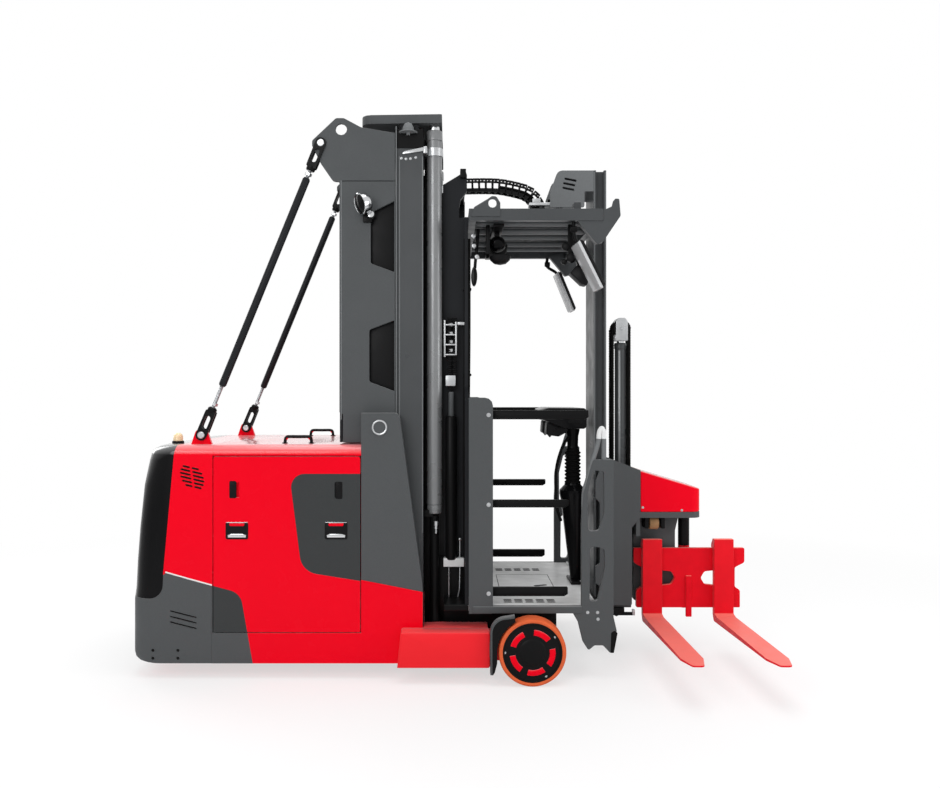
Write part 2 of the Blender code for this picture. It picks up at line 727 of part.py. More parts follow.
def build_lift():
    """The lift cylinders, and the moving mast that they push up."""
    for side, tag in ((-1, "r"), (1, "l")):
        barrel = turned([(0.0, BARREL_LOW), (BARREL_R, BARREL_LOW), (BARREL_R, BARREL_TOP - 0.060),
                         (BARREL_R + 0.004, BARREL_TOP - 0.060), (BARREL_R + 0.004, BARREL_TOP),
                         (ROD_R + BORE_GAP, BARREL_TOP), (ROD_R + BORE_GAP, BARREL_TOP - 0.050),
                         (BARREL_BORE_R, BARREL_TOP - 0.050), (BARREL_BORE_R, BARREL_LOW + 0.100),
                         (0.0, BARREL_LOW + 0.100)],
                        (LIFT_X, side * LIFT_Y, 0.0), (0, 0, 1))
        join(barrel, rod((LIFT_X, side * LIFT_Y, BASE_TOP + 0.010), (LIFT_X, side * LIFT_Y,
                                                                     BARREL_LOW + 0.010),
                         0.030))
        join(barrel, side_box(side, RAIL_FRONT_X + FIT, LIFT_X, LIFT_Y - 0.030, LIFT_Y + 0.030,
                              BARREL_LOW - 0.020, BARREL_LOW + 0.020))
        join(barrel, side_box(side, RAIL_FRONT_X + FIT, LIFT_X - BARREL_R + 0.012, LIFT_Y - 0.030,
                              LIFT_Y + 0.050, 2.968, 3.018))
        finish(barrel, "lift_barrel_" + tag, "silver", True)
        inner = channel(side, RAIL_REAR_X + RAIL_FLANGE + RUN_GAP, RAIL_FRONT_X - RAIL_FLANGE - RUN_GAP,
                        INNER_INNER_Y, INNER_OUTER_Y, RAIL_WEB, INNER_FLANGE)
        finish(plate("XY", inner, INNER_RAIL_BOTTOM, HEAD_LOW - FIT), "inner_rail_" + tag, "dark_grey")
    outline = rounded([(-0.510, -0.500, 0.060), (-0.046, -0.520, 0.010), (-0.046, 0.520, 0.010),
                       (-0.510, 0.500, 0.060)])
    crosshead = plate("XY", outline, HEAD_LOW, HEAD_TOP)
    for side in (-1, 1):
        join(crosshead, rod((LIFT_X, side * LIFT_Y, BARREL_LOW + 0.120), (LIFT_X, side * LIFT_Y,
                                                                          HEAD_LOW + 0.010),
                            ROD_R))
    join(crosshead, box((-0.285, -0.360, 2.980), (-0.268, 0.360, HEAD_LOW + 0.010)))
    finish(crosshead, "mast_crosshead", "grey")


def build_stays():
    """The two stays from the body to the mast's gussets, each with forked ends."""
    run_x = STAY_HIGH[0] - STAY_LOW[0]
    run_z = STAY_HIGH[1] - STAY_LOW[1]
    length = hypot(run_x, run_z)
    along = Vector((run_x, 0, run_z)) / length
    for side, tag in ((-1, "r"), (1, "l")):
        y = side * STAY_Y
        low = Vector((STAY_LOW[0], y, STAY_LOW[1]))

        def at(distance):
            return low + along * distance

        stay = rod(at(0.300), at(length - 0.210), 0.022, 16)
        join(stay, rod(at(0.140), at(length - 0.140), 0.012, 10))
        for end, way in ((0.0, 1.0), (length, -1.0)):
            base = at(end + way * 0.165)
            join(stay, rod(base - along * way * 0.030, base + along * way * 0.030, 0.026, 12))
            for tine in (-1, 1):
                centre = at(end + way * 0.065)
                arm = box((-0.085, -0.0055, -0.022), (0.085, 0.0055, 0.022))
                arm.location = centre + Vector((0, tine * (LUG_THICK / 2 + 0.0065), 0))
                arm.rotation_euler = (0, -atan2(way * along.z, way * along.x), 0)
                join(stay, arm)
            pin = at(end)
            join(stay, rod(pin - Vector((0, 0.026, 0)), pin + Vector((0, 0.026, 0)), STAY_PIN_R, 12))
        finish(stay, "stay_" + tag, "dark_grey")


def build_lamps():
    """The beacon on the body and the work lamps on the mast."""
    beacon = turned([(0.0, 0.0), (0.034, 0.0), (0.034, 0.012), (0.028, 0.014), (0.027, 0.045),
                     (0.018, 0.058), (0.0, 0.062)], (-1.580, -0.450, BODY_TOP + FIT), (0, 0, 1), 24)
    finish(beacon, "beacon", "amber", True)
    for side, tag in ((-1, "r"), (1, "l")):
        y = side * (PLATE_OUTER_Y + 0.062)
        lamp = rod((-0.440, y, 2.690), (-0.540, y, 2.640), 0.030, 24, 0.052)
        join(lamp, side_box(side, -0.500, -0.470, PLATE_OUTER_Y + FIT, PLATE_OUTER_Y + 0.050, 2.655,
                            2.685))
        finish(lamp, "work_lamp_" + tag, "black", True)


def build_cab_frame():
    """The cab's rear wall on its mast carriage, and its floor."""
    half = CAB_INNER_Y - FIT
    wall_outline = [(-half, FLOOR_TOP + FIT), (half, FLOOR_TOP + FIT), (half, PANEL_TOP - 0.020),
                    (0.450, PANEL_TOP + 0.060), (0.450, ROOF_TOP), (-0.450, ROOF_TOP),
                    (-0.450, PANEL_TOP + 0.060), (-half, PANEL_TOP - 0.020)]
    window = rounded([(-0.300, 1.500, 0.050), (0.300, 1.500, 0.050), (0.300, 2.450, 0.050),
                      (-0.300, 2.450, 0.050)])
    frame = plate("YZ", wall_outline, CAB_WALL_X - WALL_THICK, CAB_WALL_X, [window])
    column = [(CAB_REAR_X, FLOOR_TOP + FIT), (CAB_WALL_X - 0.010, FLOOR_TOP + FIT),
              (CAB_WALL_X - 0.010, 2.632),
              (0.053, 2.632), (0.054, 2.695), (0.062, 2.740), (0.100, 2.790), (0.100, 2.884),
              (0.093, 2.907), (CAB_REAR_X - 0.006, 2.826)]
    arm = [(-0.260, 0.430), (CAB_REAR_X + 0.010, 0.430), (CAB_REAR_X + 0.010, 1.050), (-0.260, 0.990)]
    for side in (-1, 1):
        join(frame, side_plate(column, side, 0.340, 0.390))
        join(frame, side_plate(arm, side, 0.342, 0.362))
        for z in (0.500, 0.930):
            join(frame, rod((-0.233, side * 0.345, z), (-0.233, side * 0.465, z), CAB_ROLLER_R, 24))
    finish(frame, "cab_back_frame", "dark_grey")

    floor = box((CAB_REAR_X, -half, FLOOR_LOW), (FLOOR_FRONT_X, half, FLOOR_TOP), 0.004)
    beam = box((FLOOR_FRONT_X - 0.010, -0.600, FLOOR_LOW - 0.040), (0.845, 0.600, TRAVERSE_RAIL_TOP),
               0.004)
    join(floor, beam)
    for side in (-1, 1):
        join(floor, side_box(side, CAB_REAR_X, UNDER_FRAME_FRONT_X, 0.360, 0.440,
                             UNDER_FRAME_LOW, FLOOR_LOW + 0.010))
    for x in (CAB_REAR_X + 0.002, UNDER_FRAME_FRONT_X - 0.052):
        join(floor, box((x, -0.400, UNDER_FRAME_LOW + 0.010), (x + 0.050, 0.400, FLOOR_LOW + 0.008)))
    finish(floor, "cab_floor", "light_grey")


FRONT_FOOT = ((0.931, 0.275, 0.010), (0.914, 0.151, 0.006), (0.893, 0.151, 0.0), (0.854, 0.192, 0.012),
              (0.807, 0.192, 0.012), (0.773, 0.164, 0.010), (0.743, 0.211, 0.0), (0.717, 0.318, 0.020),
              (0.692, 0.361, 0.0), (0.692, 0.372, 0.0), (0.735, 0.410, 0.0))


def build_cab_sides():
    """The side panels behind and in front of each side entry."""
    rear = rounded([(CAB_WALL_X + FIT, 0.368, 0.0), (0.240, 0.368, 0.010), (0.240, PANEL_TOP, 0.045),
                    (CAB_WALL_X + FIT, PANEL_TOP, 0.004)])
    front = rounded([(0.913, 1.228, 0.010), (0.913, 0.352, 0.0), *FRONT_FOOT, (0.735, 0.868, 0.020),
                     (0.745, 1.042, 0.020), (0.790, 1.200, 0.020), (0.800, 1.228, 0.010)])
    slots = [rounded([(0.800, 1.169, 0.015), (0.860, 1.165, 0.015), (0.862, 0.935, 0.020),
                      (0.833, 0.832, 0.020), (0.770, 0.828, 0.020), (0.769, 1.042, 0.020)]),
             rounded([(0.782, 0.746, 0.020), (0.864, 0.735, 0.025), (0.866, 0.624, 0.020),
                      (0.825, 0.439, 0.015), (0.779, 0.439, 0.015)])]
    for side, tag in ((-1, "r"), (1, "l")):
        panel = side_plate(rear, side, CAB_INNER_Y, CAB_OUTER_Y)
        for z in BAR_PIVOTS_Z:
            join(panel, rod((BAR_PIVOT_X, side * (CAB_INNER_Y + 0.010), z),
                            (BAR_PIVOT_X, side * (BAR_OUTER_Y - BAR_THICK + 0.004), z), 0.011, 12))
        finish(panel, "cab_rear_panel_" + tag, "grey")
        nose = side_plate(front, side, CAB_INNER_Y, CAB_OUTER_Y, slots)
        y = side * (CAB_INNER_Y + CAB_OUTER_Y) / 2
        path = [(0.753, y, 0.790), (0.751, y, 1.040), (0.793, y, 1.200), (0.831, y, 1.330),
                (0.838, y, 1.388), (0.850, y, 1.403), (0.862, y, 1.388), (0.862, y, 1.195)]
        join(nose, pipe(path, 0.012))
        finish(nose, "cab_front_panel_" + tag, "grey")


def build_roof():
    """The overhead guard, its bars, lifting eyes, front horns and traverse rail."""
    low_x = CAB_WALL_X + FIT
    outline = [(low_x, -ROOF_Y), (ROOF_FRONT_X, -ROOF_Y), (ROOF_FRONT_X, ROOF_Y), (low_x, ROOF_Y)]
    inner = [(low_x + 0.040, -ROOF_Y + 0.040), (ROOF_FRONT_X - 0.040, -ROOF_Y + 0.040),
             (ROOF_FRONT_X - 0.040, ROOF_Y - 0.040), (low_x + 0.040, ROOF_Y - 0.040)]
    roof = plate("XY", outline, ROOF_TOP - 0.020, ROOF_TOP)
    join(roof, plate("XY", outline, ROOF_LOW, ROOF_TOP - 0.010, [inner]))
    eye = rounded([(0.117, 2.580, 0.0), (0.279, 2.580, 0.0), (0.279, 2.655, 0.010), (0.257, 2.690,
                                                                                     0.015),
                   (0.232, 2.692, 0.015), (0.211, 2.677, 0.010), (0.134, 2.631, 0.010)])
    hole = rounded([(0.213, 2.628, 0.020), (0.258, 2.628, 0.020), (0.258, 2.676, 0.020), (0.213, 2.676,
                                                                                          0.020)])
    horn = rounded([(0.700, ROOF_LOW + 0.010, 0.0), (0.815, 2.430, 0.010), (0.850, 2.440, 0.010),
                    (0.948, 2.585, 0.020), (0.940, 2.680, 0.008), (0.915, 2.680, 0.008),
                    (0.905, 2.640, 0.020), (0.840, 2.610, 0.0)])
    for side in (-1, 1):
        join(roof, side_plate(eye, side, ROOF_Y - 0.006, ROOF_Y + 0.006, [hole]))
        join(roof, rod((low_x + 0.020, side * 0.220, 2.583), (ROOF_FRONT_X - 0.020, side * 0.220,
                                                              2.583), 0.018, 12))
        join(roof, side_plate(horn, side, ROOF_Y - 0.055, ROOF_Y - 0.005))
    join(roof, box((0.700, -0.600, ROOF_TOP - 0.005), (0.740, 0.600, ROOF_RAIL_TOP), 0.003))
    finish(roof, "overhead_guard", "grey")


def build_chain():
    """The energy chain on the roof, a band of links from wall to front."""
    path = [(0.1053, 2.888), (0.200, 2.890), (0.290, 2.888), (0.347, 2.880), (0.420, 2.864),
            (0.480, 2.845), (0.520, 2.810), (0.545, 2.760), (0.550, 2.700)]
    half = 0.041
    tops = []
    bottoms = []
    for index, (x, z) in enumerate(path):
        before = Vector(path[max(index - 1, 0)])
        after = Vector(path[min(index + 1, len(path) - 1)])
        tangent = (after - before).normalized()
        tops.append((x - tangent.y * half, z + tangent.x * half))
        bottoms.append((x + tangent.y * half, z - tangent.x * half))
    windows = []
    for x in (0.155, 0.215, 0.275, 0.335):
        windows.append(rounded([(x - 0.016, 2.866, 0.006), (x + 0.016, 2.866, 0.006),
                                (x + 0.016, 2.908, 0.006), (x - 0.016, 2.908, 0.006)], 2))
    band = plate("XZ", tops + bottoms[::-1], -0.130, -0.050, windows)
    join(band, box((0.515, -0.136, ROOF_TOP + FIT), (0.600, -0.044, 2.710), 0.004))
    finish(band, "energy_chain", "black")


def build_mirrors():
    """A mirror under each front corner of the roof."""
    places = ((-1, "r", 0.772, 2.309, 26.6), (1, "l", 0.812, 2.318, 22.5))
    for side, tag, x, z, lean in places:
        y = side * 0.650
        mirror = box((-0.0205, -0.055, -0.148), (0.0205, 0.055, 0.148), 0.010)
        mirror.location = (x, y, z)
        mirror.rotation_euler = (0, -radians(lean), 0)
        grip = (x - 0.100 * sin(radians(lean)), y, z + 0.100 * cos(radians(lean)))
        join(mirror, pipe([(0.690, y, ROOF_LOW - FIT), (0.690, y, 2.500), grip], 0.011))
        finish(mirror, "mirror_" + tag, "black")


def build_controls():
    """The steering column and the control console in front of the driver."""
    column = turned([(0.0, FLOOR_TOP + FIT), (0.034, FLOOR_TOP + FIT), (0.0595, 0.950),
                     (0.0615, 0.985), (0.041, 1.035), (0.041, 1.251), (0.044, HEAD_PLATE_LOW - FIT),
                     (0.0, HEAD_PLATE_LOW - FIT)],
                    (0.777, 0, 0), (0, 0, 1), 24)
    foot = box((0.752, -0.110, FLOOR_TOP + FIT), (0.814, 0.110, 0.428), 0.006)
    finish(join(column, foot), "steering_column", "black", True)
    profile = rounded([(0.560, 1.440, 0.010), (0.560, 1.500, 0.010), (0.600, 1.512, 0.020),
                       (0.830, 1.510, 0.022), (0.830, HEAD_PLATE_LOW, 0.022), (0.700, HEAD_PLATE_LOW,
                                                                               0.010),
                       (0.640, 1.418, 0.010)])
    head = plate("XZ", profile, -0.240, 0.240)
    for side in (-1, 1):
        join(head, side_box(side, 0.590, 0.720, 0.060, 0.200, 1.335, 1.430, 0.016))
    finish(head, "control_head", "black", True)


def build_barriers():
    """Three pivoting barrier bars across each side entry."""
    bars = zip(("top", "middle", "low"), BAR_PIVOTS_Z, BAR_ENDS_X)
    for level, z, end in list(bars):
        for side, tag in ((-1, "r"), (1, "l")):
            outline = rounded([(BAR_PIVOT_X - 0.022, z - BAR_HALF, 0.020), (end - 0.020, z - BAR_HALF,
                                                                            0.0),
                               (end, z - BAR_HALF + 0.012, 0.0), (end, z + BAR_HALF, 0.006),
                               (BAR_PIVOT_X - 0.022, z + BAR_HALF, 0.020)])
            bar = side_plate(outline, side, BAR_OUTER_Y - BAR_THICK, BAR_OUTER_Y,
                             [circle(BAR_PIVOT_X, z, 0.011 + BORE_GAP)])
            finish(bar, "barrier_" + level + "_" + tag, "black")


def build_aux_mast():
    """The traversing mast in front of the cab, and its lift cylinder."""
    mast = plate("XY", [(AUX_REAR_X, -AUX_HALF_Y), (AUX_REAR_X, AUX_HALF_Y), (AUX_REAR_X + AUX_FLANGE,
                                                                              AUX_HALF_Y),
                        (AUX_REAR_X + AUX_FLANGE, AUX_WEB_Y + AUX_WEB), (AUX_FRONT_X - AUX_FLANGE,
                                                                         AUX_WEB_Y + AUX_WEB),
                        (AUX_FRONT_X - AUX_FLANGE, AUX_HALF_Y), (AUX_FRONT_X, AUX_HALF_Y),
                        (AUX_FRONT_X, AUX_WEB_Y),
                        (AUX_REAR_X + AUX_FLANGE, AUX_WEB_Y), (AUX_REAR_X + AUX_FLANGE, -AUX_WEB_Y),
                        (AUX_FRONT_X, -AUX_WEB_Y), (AUX_FRONT_X, -AUX_HALF_Y),
                        (AUX_FRONT_X - AUX_FLANGE, -AUX_HALF_Y),
                        (AUX_FRONT_X - AUX_FLANGE, -AUX_WEB_Y - AUX_WEB),
                        (AUX_REAR_X + AUX_FLANGE, -AUX_WEB_Y - AUX_WEB), (AUX_REAR_X + AUX_FLANGE,
                                                                          -AUX_HALF_Y)],
                 AUX_LOW, AUX_TOP)
    join(mast, box((AUX_REAR_X, -AUX_HALF_Y, AUX_LOW), (AUX_BARREL_X + 0.040, AUX_HALF_Y,
                                                        AUX_LOW + 0.035), 0.004))
    fan = rounded([(0.616, 2.747, 0.010), (0.829, 2.747, 0.010), (0.829, 2.845, 0.0),
                   (AUX_REAR_X + 0.010, 2.845, 0.0), (AUX_REAR_X + 0.010, AUX_TOP - 0.0005, 0.0),
                   (0.665, AUX_TOP - 0.0005, 0.040), (0.621, 2.850, 0.020)])
    slots = [rounded([(x, z + 0.015, 0.006), (x + 0.075, z, 0.006), (x + 0.075, z + 0.014, 0.006),
                      (x, z + 0.029, 0.006)], 2)
             for x, z in ((0.705, 2.902), (0.697, 2.874), (0.693, 2.846))]
    for side in (-1, 1):
        join(mast, side_plate(fan, side, AUX_HALF_Y - 0.010, AUX_HALF_Y, slots))
    join(mast, box((0.690, -0.145, ROOF_RAIL_TOP + BORE_GAP), (0.750, 0.145, 2.800), 0.004))
    join(mast, box((0.828, -0.145, TRAVERSE_RAIL_TOP + BORE_GAP), (AUX_REAR_X + 0.010, 0.145, 0.450),
                   0.003))
    join(mast, box((0.850, -0.145, 0.300), (AUX_REAR_X + 0.010, 0.145, 0.450), 0.003))
    finish(mast, "aux_mast", "dark_grey")
    barrel = turned([(0.0, AUX_LOW + 0.035 + FIT), (AUX_BARREL_R, AUX_LOW + 0.035 + FIT),
                     (AUX_BARREL_R, AUX_BARREL_TOP), (AUX_ROD_R + BORE_GAP, AUX_BARREL_TOP),
                     (AUX_ROD_R + BORE_GAP, 0.700), (0.0, 0.700)],
                    (AUX_BARREL_X, 0, 0), (0, 0, 1), 24)
    finish(barrel, "aux_barrel", "silver", True)
    piston = rod((AUX_BARREL_X, 0, 0.720), (AUX_BARREL_X, 0, 1.940), AUX_ROD_R, 24)
    join(piston, box((AUX_BARREL_X - 0.060, -0.030, 1.926), (AUX_BARREL_X + 0.060, 0.030, 2.075),
                     0.008))
    join(piston, rod((AUX_BARREL_X, -0.055, 2.005), (AUX_BARREL_X, 0.055, 2.005), 0.052, 32))
    finish(piston, "aux_rod", "silver", True)


def build_head():
    """The turret head that climbs the auxiliary mast: cheeks, rim and hood."""
    cheek = rounded([(0.917, HEAD_BOTTOM, 0.0), (CHEEK_FRONT_X, HEAD_BOTTOM, 0.010), (CHEEK_FRONT_X,
                                                                                      0.780, 0.0),
                     (HOOD_REAR_X, 0.838, 0.0), (HOOD_REAR_X, 1.129, 0.0), (CHEEK_REAR_X, 1.213, 0.010),
                     (0.890, 1.060, 0.0), (0.890, 0.960, 0.0), (0.917, 0.930, 0.0), (0.917, 0.560, 0.0),
                     (0.890, 0.540, 0.0), (0.890, 0.440, 0.0), (0.917, 0.420, 0.0)])
    deck = rounded([(1.140, -CHEEK_OUTER_Y, 0.0), (HOOD_FRONT_X, -CHEEK_OUTER_Y, 0.065),
                    (HOOD_FRONT_X, CHEEK_OUTER_Y, 0.065), (1.140, CHEEK_OUTER_Y, 0.0)], CORNER_STEPS)
    frame = plate("XY", deck, RIM_LOW, HOOD_LOW - FIT)
    join(frame, box((1.140, -CHEEK_OUTER_Y + 0.005, 0.725), (HOOD_REAR_X - 0.001,
                                                             CHEEK_OUTER_Y - 0.005, 1.110)))
    web = rounded([(1.150, RIM_LOW + 0.010, 0.0), (1.150, HEAD_BOTTOM, 0.010), (1.410, HEAD_BOTTOM,
                                                                                0.010),
                   (1.410, 0.740, 0.040), (1.435, RIM_LOW + 0.010, 0.0)])
    join(frame, plate("XZ", web, -0.060, 0.060))
    roller_x = (AUX_REAR_X + AUX_FRONT_X) / 2
    for side in (-1, 1):
        join(frame, side_plate(cheek, side, CHEEK_OUTER_Y - CHEEK_THICK, CHEEK_OUTER_Y))
        for z in (0.490, 1.010):
            join(frame, rod((roller_x, side * (AUX_WEB_Y + AUX_WEB + 0.006), z),
                            (roller_x, side * (CHEEK_OUTER_Y - 0.005), z), HEAD_ROLLER_R, 24))
    finish(frame, "head_frame", "grey")
    hood = plate("XZ", [(HOOD_REAR_X + FIT, HOOD_LOW), (HOOD_FRONT_X, HOOD_LOW), (HOOD_FRONT_X - 0.003,
                                                                                  1.015),
                        (HOOD_REAR_X + FIT, 1.127)], -CHEEK_OUTER_Y, CHEEK_OUTER_Y)
    common(hood, plate("XY", deck, 0.5, 1.5))
    finish(hood, "head_hood", "red")


def build_forks():
    """The swivelling fork carriage and its two forks."""
    carriage = carriage_plate()
    join(carriage, rod((PIVOT_X, 0, 0.250), (PIVOT_X, 0, RIM_LOW - FIT), PIVOT_R, 24))
    join(carriage, box((PIVOT_X - 0.045, CARRIAGE_FACE_Y + CARRIAGE_THICK - 0.005, 0.300),
                       (PIVOT_X + 0.045, 0.0, 0.600), 0.004))
    join(carriage, box((PIVOT_X - 0.018, CARRIAGE_FACE_Y - 0.012, 0.215),
                       (PIVOT_X + 0.018, CARRIAGE_FACE_Y + 0.005, 0.470), 0.003))
    finish(carriage, "fork_carriage", "red")
    face = CARRIAGE_FACE_Y - FIT
    back = CARRIAGE_FACE_Y + CARRIAGE_THICK
    shank = face - FORK_THICK
    outline = rounded([
        (face, FORK_LOW + FORK_THICK, 0.020), (face, CARRIAGE_TOP + FIT, 0.0), (back,
                                                                                CARRIAGE_TOP + FIT,
                                                                                0.0),
        (back, CARRIAGE_TOP + 0.022, 0.004), (face, FORK_TOP_Z, 0.0), (shank, FORK_TOP_Z, 0.004),
        (shank, FORK_LOW + 0.050, 0.006), (shank - 0.045, FORK_LOW + FORK_THICK, 0.030),
        (FORK_TIP_Y, FORK_LOW + FORK_THICK, 0.0), (FORK_TIP_Y, FORK_LOW + 0.030, 0.0),
        (shank + 0.015, FORK_LOW, 0.020)])
    for x, tag in zip(FORK_X, ("a", "b")):
        half = FORK_WIDTH / 2
        fork = plate("YZ", outline, x - half, x + half)
        plan = rounded([(x - half, 0.0, 0.0), (x + half, 0.0, 0.0), (x + half, FORK_TIP_Y + 0.120,
                                                                     0.030),
                        (x + 0.030, FORK_TIP_Y, 0.020), (x - 0.030, FORK_TIP_Y, 0.020),
                        (x - half, FORK_TIP_Y + 0.120, 0.030)])
        common(fork, plate("XY", plan, 0.0, 1.0))
        finish(fork, "fork_" + tag, "red")


def carriage_plate():
    """The fork plate, with its ears, notches and two windows."""
    left = CARRIAGE_REAR_X
    right = FRONT_X
    outline = rounded([
        (left + 0.016, CARRIAGE_LOW, 0.006), (right - 0.028, CARRIAGE_LOW, 0.006),
        (right - 0.028, 0.378, 0.020), (right - 0.060, 0.400, 0.015), (right - 0.060, 0.520, 0.015),
        (right, 0.550, 0.020), (right, CARRIAGE_TOP, 0.006), (left, CARRIAGE_TOP, 0.006),
        (left, 0.550, 0.020), (left + 0.050, 0.520, 0.015), (left + 0.050, 0.400, 0.015),
        (left + 0.016, 0.378, 0.020)])
    windows = [rounded([(1.313, 0.408, 0.004), (1.375, 0.415, 0.020), (1.398, 0.455, 0.020), (1.375,
                                                                                              0.495,
                                                                                              0.020),
                        (1.313, 0.501, 0.004)], 3),
               rounded([(1.643, 0.501, 0.004), (1.580, 0.495, 0.020), (1.555, 0.455, 0.020), (1.580,
                                                                                              0.415,
                                                                                              0.020),
                        (1.643, 0.408, 0.004)], 3)]
    return plate("XZ", outline, CARRIAGE_FACE_Y, CARRIAGE_FACE_Y + CARRIAGE_THICK, windows)


def main():
    """Build the whole truck and stand its box on the origin."""
    global root, parts, cutters
    clear_scene()
    parts = make_collection("turret_truck")
    cutters = make_collection("cutters")
    root = bpy.data.objects.new("truck_root", None)
    parts.objects.link(root)
    for name, colour, roughness, metallic in (
            ("red", (0.80, 0.006, 0.012), 0.35, 0.0), ("grey", (0.085, 0.090, 0.095), 0.50, 0.0),
            ("dark_grey", (0.035, 0.038, 0.042), 0.50, 0.0), ("black", (0.012, 0.012, 0.013), 0.55,
                                                              0.0),
            ("orange", (0.75, 0.12, 0.04), 0.60, 0.0), ("silver", (0.35, 0.36, 0.37), 0.35, 0.6),
            ("light_grey", (0.45, 0.46, 0.46), 0.60, 0.0), ("steel_grey", (0.18, 0.19, 0.20), 0.60,
                                                            0.0),
            ("amber", (0.80, 0.30, 0.02), 0.25, 0.0)):
        material(name, colour, roughness, metallic)
    build_chassis()
    build_doors()
    build_legs()
    build_load_wheels()
    build_drive()
    build_mast_frame()
    build_lift()
    build_stays()
    build_lamps()
    build_cab_frame()
    build_cab_sides()
    build_roof()
    build_chain()
    build_mirrors()
    build_controls()
    build_barriers()
    build_aux_mast()
    build_head()
    build_forks()
    root.location = (-(REAR_X + FRONT_X) / 2, -(FORK_TIP_Y + LOAD_OUTER_Y) / 2, 0.0)
    bpy.context.view_layer.update()


main()
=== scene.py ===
"""Looks of a rider-up turret truck for very narrow aisles.

Sizes are in metres in the drawing frame of the truck, whose origin lies on
the floor under the middle of the cab's rear wall. +X points to the forks, +Y
to the truck's left and +Z up. OFFSET carries a finished piece from there to
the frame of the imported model. A name that ends in _px holds columns and rows
of the picture, which seen() turns into places on an upright plane.
"""
import json
import logging
from collections.abc import Iterable
from dataclasses import dataclass, replace
from enum import Enum
from math import atan2, cos, pi, radians, sin, tau

import bmesh
import bpy
import numpy as np
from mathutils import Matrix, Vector


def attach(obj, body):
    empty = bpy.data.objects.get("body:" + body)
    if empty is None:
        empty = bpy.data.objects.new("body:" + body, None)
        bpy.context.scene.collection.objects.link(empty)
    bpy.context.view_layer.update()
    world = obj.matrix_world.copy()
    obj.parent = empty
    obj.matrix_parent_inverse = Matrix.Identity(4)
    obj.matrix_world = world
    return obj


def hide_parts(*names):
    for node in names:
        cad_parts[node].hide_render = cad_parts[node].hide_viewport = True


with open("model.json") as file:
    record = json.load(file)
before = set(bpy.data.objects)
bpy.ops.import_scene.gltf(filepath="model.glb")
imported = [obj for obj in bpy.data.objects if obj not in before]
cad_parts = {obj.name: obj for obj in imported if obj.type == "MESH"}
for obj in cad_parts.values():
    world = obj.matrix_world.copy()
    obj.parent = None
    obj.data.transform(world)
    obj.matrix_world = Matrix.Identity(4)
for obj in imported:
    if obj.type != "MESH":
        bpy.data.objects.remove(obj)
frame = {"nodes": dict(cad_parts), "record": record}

Array = np.ndarray
Point = tuple[float, float, float]
Pair = tuple[float, float]
Pairs = tuple[Pair, ...]
Tree = bpy.types.NodeTree
Node = bpy.types.Node
Socket = bpy.types.NodeSocket

log = logging.getLogger("turret_truck")

OFFSET = np.array((-0.011, 0.18, 0.0))
EYE_Y = -5.45
EYE_Z = 1.59
PIXELS_PER_METRE_AT_ONE = 860.0
CENTRE_PX = (450.0, 395.0)
UP: Point = (0.0, 0.0, 1.0)

CUT_EDGE = 0.0001
CAD_WELD = 1e-5
SHEEN_ROUGHNESS = 0.25
COAT_ROUGHNESS = 0.12
NOISE_RANGE = (0.3, 0.7)
# Heights of the normal over which the painted highlight comes in.
PAINTED_HIGHLIGHT_SLOPE = (0.1, 0.95)
COAT_SLOPE = (0.1, 0.45)
FLAT_ANGLE = radians(0.3)

BODY_OF = {node: body for body, nodes in frame["record"]["behaviour"]["bodies"].items() for node in nodes}
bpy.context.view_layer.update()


class Side(Enum):
    """The truck's two sides: a tag, and the sign of Y."""

    RIGHT = ("r", -1)
    LEFT = ("l", 1)

    @property
    def tag(self) -> str:
        """Letter that ends the names of this side's pieces."""
        return self.value[0]

    @property
    def sign(self) -> int:
        """Minus one on the right, one on the left."""
        return self.value[1]


class Plane(Enum):
    """The plane that an outline is drawn in, as (u axis, v axis, thickness axis)."""

    XY = (0, 1, 2)
    XZ = (0, 2, 1)
    YZ = (1, 2, 0)


class Grain(Enum):
    """The small-scale pattern of a finish."""

    PEEL = "peel"
    POWDER = "powder"
    DRAWN = "drawn"
    DIMPLED = "dimpled"
    RIBBED = "ribbed"


def seen(px: float, py: float, y: float) -> Pair:
    """Find where a spot of the picture lies on an upright plane.

    Args:
        px: Column in the picture.
        py: Row in the picture.
        y: Distance of the plane from the truck's middle.

    Returns:
        The x and z of the spot, by similar triangles through the eye.
    """
    scale = PIXELS_PER_METRE_AT_ONE / (y - EYE_Y)
    return (px - CENTRE_PX[0]) / scale, EYE_Z - (py - CENTRE_PX[1]) / scale


def map_range(tree: Tree, value: Socket, start: Pair, end: Pair) -> Socket:
    """Add a node that carries one range of values over to another.

    Args:
        tree: Node tree of the material or the world.
        value: Value that goes in.
        start: Range that it comes from.
        end: Range that it goes to.

    Returns:
        The node's result.
    """
    node = tree.nodes.new("ShaderNodeMapRange")
    node.inputs["From Min"].default_value, node.inputs["From Max"].default_value = start
    node.inputs["To Min"].default_value, node.inputs["To Max"].default_value = end
    tree.links.new(value, node.inputs["Value"])
    return node.outputs["Result"]


def calculate(tree: Tree, operation: str, first: Socket, second: Socket) -> Socket:
    """Add a node that works on two values.

    Args:
        tree: Node tree of the material or the world.
        operation: Name of the operation, as Blender writes it.
        first: First value.
        second: Second value.

    Returns:
        The node's result.
    """
    node = tree.nodes.new("ShaderNodeMath")
    node.operation = operation
    tree.links.new(first, node.inputs[0])
    tree.links.new(second, node.inputs[1])
    return node.outputs[0]


